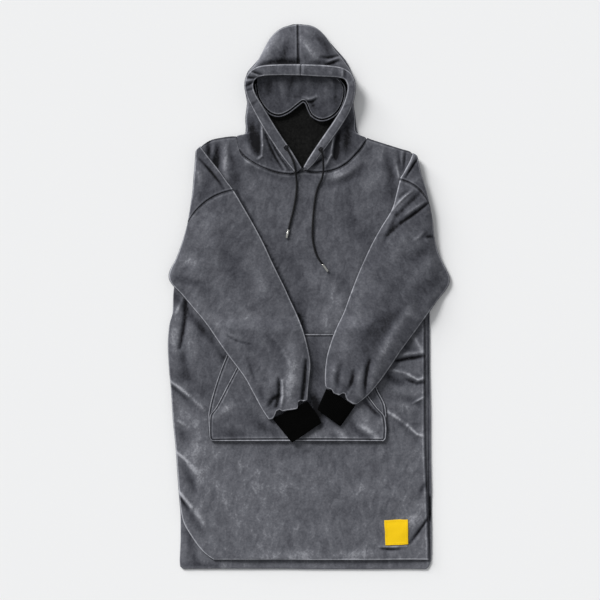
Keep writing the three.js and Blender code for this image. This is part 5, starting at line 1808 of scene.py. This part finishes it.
def mask_under(y):
    return MASK_LOW + MASK_LIFT * smooth((y - LIFT_FROM) / LIFT_OVER)


def inset_edge(at, distance):
    """Points that lie a distance inside the mask's outer edge."""
    x, y = along(MASK_EDGE, at, "x"), along(MASK_EDGE, at, "y")
    forward_x, forward_y = np.gradient(x, at), np.gradient(y, at)
    size = np.hypot(forward_x, forward_y)
    return x - forward_y / size * distance, y + forward_x / size * distance


mask_at = spread(200, 330) * (count_rows(MASK_EDGE) - 1)
mask_foot_x, mask_foot_y = inset_edge(mask_at, PIPING_WIDTH + PIPING_GAP)
up = spread(60, 90)[None, :]
mask_x = mix(mask_foot_x[:, None], along(MASK_EDGE, mask_at, "top_x")[:, None], up)
mask_y = mix(mask_foot_y[:, None], along(MASK_EDGE, mask_at, "top_y")[:, None], up)
inside = smooth(distance_to_rim(mask_x, mask_y) / BORDER_FADE)
mask_folded = inside * folds_at(MASK_FOLDS, mask_x, mask_y)
mask_extra = mask_folded + inside * unevenness(mask_x, mask_y, 16, 0.8, 2.9)
mask_over, mask_lower = lift((mask_x, mask_y), mask_under(mask_y), MASK_CLOTH, mask_extra, MASK_ROLL)
to_piping = run_from(mask_x, mask_y, 1)[0]
mask_painted_light = MASK_PAINTED_SHADE + painted_light_at(mask_folded, to_fold=to_piping, glow=1.1)
mask = wall("sleep_mask", mask_over, mask_lower, HOOD_PLUSH, mask_painted_light)

# %% Mask piping
piping_at = np.linspace(0, count_rows(MASK_EDGE) - 1, 130)
piping_x, piping_y = inset_edge(piping_at, PIPING_WIDTH / 2)
piping_line = {
    "x": piping_x,
    "y": piping_y,
    "z": mask_under(piping_y) + MASK_CLOTH / 2,
    "width": np.full(len(piping_at), PIPING_WIDTH),
}
piping_rings, piping_painted_light = roll_rings(piping_line, PIPING_HALF_HEIGHT, 300, 16, MASK_FOLDS, 0.4)
piping = roll_solid("mask_piping", piping_rings, HOOD_PLUSH, None, piping_painted_light)
print("mask faces:", len(mask.data.polygons) + len(piping.data.polygons))

# %% [markdown]
# ## Eyelets and cord ends
#
# An eyelet is a pressed brass ring with a rolled lip. A profile is turned round its axis, which leaves the
# hole open for the cord. The cord ends are short plated sleeves, crimped near the cord, with a closed tip.

# %% Eyelets and cord ends
def turned(name, profile, centre, segments, material):
    """Closed ring turned about a standing axis from a closed profile of radius and height."""
    radius, height = np.array(profile, float).T
    angle = turns(segments)[:, None]
    ring = np.stack(
        [radius * np.cos(angle), radius * np.sin(angle), np.tile(height, (segments, 1))], axis=-1
    )
    points = ring.reshape(-1, 3) + np.array(centre, float)
    size = len(profile)
    i = size * np.arange(segments)[:, None]
    j = np.arange(size)[None, :]
    after_i, after_j = (i + size) % (size * segments), (j + 1) % size
    quads = np.stack([i + j, after_i + j, after_i + after_j, i + after_j], axis=-1)
    return cloth_object(name, points, quads.reshape(-1, 4), material)


EYELET_PROFILE = [
    (2.9, 0.3),
    (3.1, 0.0),
    (5.1, 0.0),
    (5.4, 0.4),
    (5.2, 1.0),
    (4.6, 1.35),
    (3.7, 1.4),
    (3.1, 1.1),
]
EYELET_MIDDLES = {"left": (-50, 328, 23.65), "right": (26, 324, 24.66)}
eyelets = {
    side: turned("eyelet_ring_" + side, EYELET_PROFILE, middle, 40, BLACKENED_BRASS)
    for side, middle in EYELET_MIDDLES.items()
}

AGLET_RADIUS = 2.7
AGLET_STATIONS = [  # distance from the cord, and share of the radius
    (0.0, 0.80),
    (0.3, 0.93),
    (1.0, 1.0),
    (3.0, 1.0),
    (3.6, 0.90),
    (4.4, 0.90),
    (5.0, 1.0),
    (16.5, 1.0),
    (18.0, 0.96),
    (18.8, 0.8),
    (19.0, 0.55),
]


def cord_end(name, line):
    forward = (line[-1] - line[-4]) * (1, 1, 0)
    forward /= np.linalg.norm(forward)
    start = line[-1] + forward * SEAM_GAP + (0, 0, AGLET_RADIUS - CORD_RADIUS)
    distance, share = np.array(AGLET_STATIONS).T
    rings, uv, _ = rings_along(start + distance[:, None] * forward, AGLET_RADIUS * share, 28)
    return roll_solid(name, rings, NICKEL_PLATE, uv)


cord_ends = {
    "left": cord_end("cord_end_left", left_line),
    "right": cord_end("cord_end_right", right_line),
}
print("cord ends made:", len(cord_ends))

# %% [markdown]
# ## Label
#
# A woven label is a folded strip of satin, sewn flat near the hem. It is a thin wall that follows the
# front, with a soft border where its edges are folded under.

# %% Label
LABEL_MIDDLE = (192.5, -517.0)
LABEL_SIZE = (51.0, 55.0)
LABEL_THICK = 1.2
LABEL_SKEW = -0.035
LABEL_GAP = 0.3
LABEL_ROLL = 0.7  # radius to which its folded edges roll
BORDER_WIDTH = 5.0
BORDER_RISE = 0.25
SEWN_IN = 2.4  # distance of the stitches from the label's edge

u, v = np.meshgrid(spread(26, LABEL_SIZE[0]), spread(26, LABEL_SIZE[1]), indexing="ij")
label_x = LABEL_MIDDLE[0] + (u - 0.5) * LABEL_SIZE[0]
label_y = LABEL_MIDDLE[1] + (v - 0.5) * LABEL_SIZE[1]
label_x += LABEL_SKEW * (label_y - LABEL_MIDDLE[1]) + unevenness(label_x, label_y, 20, 1.2, 0.3)
label_y += -LABEL_SKEW * (label_x - LABEL_MIDDLE[0]) + unevenness(label_x, label_y, 18, 1.2, 4.3)
label_base = front_top(label_x, label_y) + LABEL_GAP
border = distance_to_rim(label_x, label_y)
label_extra = BORDER_RISE * (smooth((BORDER_WIDTH - border) / 1.5) - bell(border, SEWN_IN, 0.5))
label_over, label_lower = lift((label_x, label_y), label_base, LABEL_THICK, label_extra, LABEL_ROLL)
label = wall("woven_label", label_over, label_lower, LABEL_SATIN)
print("label faces:", len(label.data.polygons))

# %% [markdown]
# ## Stitches
#
# Topstitching is hundreds of equal stitches along a path, which is what Geometry Nodes do well. The tree
# takes a line, sets a point each pitch, puts one arched stitch on each point turned along the line, and
# makes them real. Its sizes are named inputs, so the same tree sews the pocket, the mask, the casing and
# the label with different threads.

# %% Stitch tree
def stitch_tree():
    tree = bpy.data.node_groups.new("topstitch", "GeometryNodeTree")
    face = tree.interface
    face.new_socket("Line", in_out="INPUT", socket_type="NodeSocketGeometry")
    for name, default in (("Pitch", 0.004), ("Stitch", 0.003), ("Thread radius", 0.0004), ("Arch", 0.0006)):
        face.new_socket(name, in_out="INPUT", socket_type="NodeSocketFloat").default_value = default
    face.new_socket("Thread", in_out="INPUT", socket_type="NodeSocketMaterial")
    face.new_socket("Stitches", in_out="OUTPUT", socket_type="NodeSocketGeometry")
    given = add_node(tree, "NodeGroupInput").outputs
    line = add_node(tree, "GeometryNodeMeshToCurve", {"Mesh": given["Line"]}).outputs["Curve"]
    evenly = add_node(
        tree, "GeometryNodeResampleCurve", {"Curve": line, "Length": given["Pitch"]}, mode="LENGTH"
    ).outputs["Curve"]
    half = add_node(tree, "ShaderNodeMath", {0: given["Stitch"], 1: 0.5}, operation="MULTIPLY")
    back = add_node(tree, "ShaderNodeMath", {0: given["Stitch"], 1: -0.5}, operation="MULTIPLY")
    start = add_node(tree, "ShaderNodeCombineXYZ", {"X": back.outputs[0]}).outputs[0]
    crest = add_node(tree, "ShaderNodeCombineXYZ", {"Z": given["Arch"]}).outputs[0]
    end = add_node(tree, "ShaderNodeCombineXYZ", {"X": half.outputs[0]}).outputs[0]
    arch = add_node(
        tree,
        "GeometryNodeCurveQuadraticBezier",
        {"Resolution": 5, "Start": start, "Middle": crest, "End": end},
    ).outputs["Curve"]
    round_thread = add_node(
        tree, "GeometryNodeCurvePrimitiveCircle", {"Resolution": 6, "Radius": given["Thread radius"]}
    ).outputs["Curve"]
    stitch = add_node(
        tree,
        "GeometryNodeCurveToMesh",
        {"Curve": arch, "Profile Curve": round_thread, "Fill Caps": True},
    ).outputs["Mesh"]
    tangent = add_node(tree, "GeometryNodeInputTangent").outputs["Tangent"]
    turned_to = add_node(
        tree, "FunctionNodeAlignRotationToVector", {"Vector": tangent}, axis="X"
    ).outputs["Rotation"]
    placed = add_node(
        tree,
        "GeometryNodeInstanceOnPoints",
        {"Points": evenly, "Instance": stitch, "Rotation": turned_to},
    ).outputs["Instances"]
    real = add_node(tree, "GeometryNodeRealizeInstances", {"Geometry": placed}).outputs["Geometry"]
    dressed = add_node(
        tree, "GeometryNodeSetMaterial", {"Geometry": real, "Material": given["Thread"]}
    ).outputs["Geometry"]
    add_node(tree, "NodeGroupOutput", {"Stitches": dressed})
    return tree


TOPSTITCH = stitch_tree()
print("stitch tree:", [item.name for item in TOPSTITCH.interface.items_tree])

# %% Sewing along lines
def sew(name, lines, thread, pitch=4.0, stitch=3.0, radius=0.4, arch=0.5):
    """Stitches along lines of points in millimetres, as one plain mesh."""
    points, edges = [], []
    for line in lines:
        edges += [(len(points) + k, len(points) + k + 1) for k in range(len(line) - 1)]
        points += (np.asarray(line) * MM).tolist()
    mesh = bpy.data.meshes.new(name + "_line")
    mesh.from_pydata(points, edges, [])
    guide = bpy.data.objects.new(name + "_line", mesh)
    bpy.context.scene.collection.objects.link(guide)
    modifier = guide.modifiers.new("topstitch", "NODES")
    modifier.node_group = TOPSTITCH
    sizes = {"Pitch": pitch * MM, "Stitch": stitch * MM, "Thread radius": radius * MM, "Arch": arch * MM}
    for item in TOPSTITCH.interface.items_tree:
        if item.in_out == "INPUT" and item.name in sizes:
            modifier[item.identifier] = sizes[item.name]
        if item.in_out == "INPUT" and item.name == "Thread":
            modifier[item.identifier] = thread
    evaluated = guide.evaluated_get(bpy.context.evaluated_depsgraph_get())
    sewn = bpy.data.meshes.new_from_object(evaluated)
    sewn.name = name
    piece = bpy.data.objects.new(name, sewn)
    bpy.context.scene.collection.objects.link(piece)
    bpy.data.objects.remove(guide)
    print(name, "faces:", len(sewn.polygons))
    return piece


def surface_line(x, y, top, sink=0.1):
    """Line over a surface, a little below its top so that the thread bites."""
    return np.stack([x, y, top - sink], axis=-1)


# %% Pocket stitches
t = np.linspace(0, 1, 120)
mouth_y = mix(-262, -90, t)
low_y = mix(-304, -268, t)
pocket_paths = [
    (mix(-208, 159, t), PATCH_FOOT + STITCH_IN + 0 * t),
    (mix(-118, 70, t), PATCH_TOP - TOP_STITCH_IN + 0 * t),
    (by_key(POCKET_SIDES, "y", mouth_y, "mouth_left") + STITCH_IN, mouth_y),
    (by_key(POCKET_SIDES, "y", mouth_y, "mouth_right") - STITCH_IN, mouth_y),
    (-214.0 + 0 * t, low_y),
    (164.5 + 0 * t, low_y),
]
pocket_lines = [surface_line(x, y, patch_top(x, y)) for x, y in pocket_paths]
pocket_stitches = sew("pocket_topstitch", pocket_lines, GREY_THREAD)

# %% Mask and label stitches
seam_x, seam_y = inset_edge(mask_at[12:-12], PIPING_WIDTH + PIPING_GAP + MASK_STITCH_IN)
mask_line = surface_line(seam_x, seam_y, mask_under(seam_y) + MASK_CLOTH, 0.2)
mask_stitches = sew(
    "mask_topstitch", [mask_line], GREY_THREAD, pitch=3.2, stitch=2.4, radius=0.3, arch=0.3
)

side_t = np.linspace(-1, 1, 30)
half_wide, half_high = (size / 2 - SEWN_IN for size in LABEL_SIZE)
label_sides = [
    (half_wide * side_t, half_high + 0 * side_t),
    (half_wide * side_t, -half_high + 0 * side_t),
    (half_wide + 0 * side_t, half_high * side_t),
    (-half_wide + 0 * side_t, half_high * side_t),
]
label_lines = []
for aside, onward in label_sides:
    x, y = LABEL_MIDDLE[0] + aside, LABEL_MIDDLE[1] + onward
    label_lines.append(surface_line(x, y, front_top(x, y) + LABEL_GAP + LABEL_THICK))
label_stitches = sew(
    "label_stitch", label_lines, OCHRE_THREAD, pitch=2.6, stitch=2.0, radius=0.25, arch=0.3
)

# %% Casing stitches
CASING_SHARE = 0.62


def casing_line(rows, share, low, high):
    """Line on a casing, at a share of its half width to the left of the way it runs."""
    last = count_rows(rows) - 1
    at = np.linspace(last * low, last * high, 160)
    x, y, z = (along(rows, at, column) for column in "xyz")
    forward_x, forward_y = np.gradient(x), np.gradient(y)
    size = np.hypot(forward_x, forward_y)
    away = share * along(rows, at, "width") / 2
    top = z + BAND_HALF_HEIGHT * math.sqrt(1 - abs(share) ** 3) + roll_swell(x, y)
    return surface_line(x - forward_y / size * away, y + forward_x / size * away, top)


casing_lines = [
    casing_line(BAND_LEFT, -CASING_SHARE, 0.02, 0.97),
    casing_line(BAND_RIGHT, CASING_SHARE, 0.02, 0.96),
]
casing_stitches = sew("casing_topstitch", casing_lines, GREY_THREAD, radius=0.35, arch=0.4)

# %% [markdown]
# ## What each piece rides on and stands for
#
# A rigid model has one body, so every piece rides on it. Each shell stands for its solid, which is then
# hidden. Every cloth piece states the flat size that it was cut to, so that the measured area can be set
# against it. A tube's cut is its whole way round.

# %% Ride and replace
def finish_piece(piece, slot, *nodes):
    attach(piece, "root")
    if nodes:
        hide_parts(*nodes)


def cloth_area(piece):
    """Area of one face of a closed wall, in square metres."""
    return sum(polygon.area for polygon in piece.data.polygons) / 2


SHEETS = [
    (back_panel, "plush", "back_panel", (0.576, 0.95), "laid", []),
    (front_panel, "plush", "front_panel", (0.574, 0.93), "laid", ["back_of_body"]),
    (backing, "plush", "pocket_backing", (0.394, 0.236), "laid", ["front_of_body"]),
    (patch, "plush", "pocket_patch", (0.392, 0.234), "laid", ["pocket_back_layer"]),
    (arms["shoulder_left"], "plush", "shoulder_left", (0.25, 0.17), "folded", ["front_of_body"]),
    (arms["shoulder_right"], "plush", "shoulder_right", (0.15, 0.12), "folded", ["front_of_body"]),
    (arms["sleeve_left"], "plush", "sleeve_left", (0.47, 0.56), "folded", ["front_of_body"]),
    (arms["sleeve_right"], "plush", "sleeve_right", (0.42, 0.54), "folded", ["front_of_body"]),
    (cuffs["left"], "rib", "cuff_left", (0.18, 0.062), "laid", ["pocket_front_layer"]),
    (cuffs["right"], "rib", "cuff_right", (0.15, 0.058), "laid", ["pocket_front_layer"]),
    (hood_under, "plush", "hood_back", (0.26, 0.27), "laid", []),
    (lining, "lining", "hood_lining", (0.25, 0.31), "laid", ["hood_under_half"]),
    (hood_left, "plush", "hood_left", (0.15, 0.34), "folded", ["hood_under_half"]),
    (hood_right, "plush", "hood_right", (0.15, 0.34), "folded", ["hood_under_half"]),
    (mask, "plush", "eye_mask", (0.206, 0.118), "hung", ["casing_roll_left", "casing_roll_right"]),
    (label, "label", "label", (0.051, 0.055), "laid", ["front_of_body"]),
]
for piece, slot, node, flat, held, rests_on in SHEETS:
    finish_piece(piece, slot, node)
    print(f"{piece.name}: cloth {cloth_area(piece):.4f} m2, cut {flat[0] * flat[1]:.4f} m2")

# %% Rolls, cords, metal and thread
finish_piece(casing_left, "plush", "hood_band_left")
finish_piece(casing_right, "plush", "hood_band_right")
finish_piece(piping, "plush", "mask_binding")
for side in ("left", "right"):
    finish_piece(eyelets[side], "eyelet", "eyelet_" + side)
    finish_piece(cord_ends[side], "aglet", "aglet_" + side)
finish_piece(left_cord, "cord", "cord_left")
finish_piece(right_cord, "cord", "cord_right")
for stitches, slot in (
    (pocket_stitches, "plush"),
    (mask_stitches, "plush"),
    (casing_stitches, "plush"),
    (label_stitches, "label"),
):
    finish_piece(stitches, slot)

for piece, line, length, side in (
    (left_cord, left_line, left_cord_length, "left"),
    (right_cord, right_line, right_cord_length, "right"),
):
    print(f"{piece.name}: {length:.0f} mm from its eyelet to its metal end")

# %% [markdown]
# ## Floor and light
#
# The garment was photographed on pale paper in soft daylight from the upper left, so its shadow is short
# and falls to the lower right. One large soft lamp gives that shadow, a second, lower one draws it out
# wide and faint, and an even pale world fills the rest.

# %% Floor and lights
FLOOR_REACH = 4.0
FLOOR_LEVEL = -0.0004  # just below the cloth, so that their faces don't coincide

floor_corners = [
    (x * FLOOR_REACH, y * FLOOR_REACH, FLOOR_LEVEL) for x, y in ((-1, -1), (1, -1), (1, 1), (-1, 1))
]
floor_mesh = bpy.data.meshes.new("paper_floor")
floor_mesh.from_pydata(floor_corners, [], [(0, 1, 2, 3)])
paper, paper_tree = new_material("pale paper")
end_in_shader(
    paper_tree, {"Base Color": linear("#f2f2f2"), "Roughness": 0.9, "Specular IOR Level": 0.1}
)
floor_mesh.materials.append(paper)
floor = bpy.data.objects.new("paper_floor", floor_mesh)
bpy.context.scene.collection.objects.link(floor)


def soft_sun(name, azimuth, elevation, spread_degrees, strength):
    """Broad far lamp. azimuth is counted from +X towards +Y, to where the light comes from."""
    lamp_data = bpy.data.lights.new(name, "SUN")
    lamp_data.angle = math.radians(spread_degrees)
    lamp_data.energy = strength
    lamp = bpy.data.objects.new(name, lamp_data)
    side, up = math.radians(azimuth), math.radians(elevation)
    towards = Vector((math.cos(side) * math.cos(up), math.sin(side) * math.cos(up), math.sin(up)))
    lamp.rotation_euler = towards.to_track_quat("Z", "Y").to_euler()
    bpy.context.scene.collection.objects.link(lamp)


soft_sun("window", azimuth=128, elevation=34, spread_degrees=20, strength=2.7)
soft_sun("low side of the window", azimuth=135, elevation=16, spread_degrees=20, strength=1.3)
world = bpy.data.worlds.new("pale room")
world.use_nodes = True
world.node_tree.nodes["Background"].inputs["Color"].default_value = linear("#f4f6f8")
world.node_tree.nodes["Background"].inputs["Strength"].default_value = 0.42
bpy.context.scene.world = world
bpy.context.scene.view_settings.view_transform = "Standard"
print("lamps:", [lamp.name for lamp in bpy.data.lights])
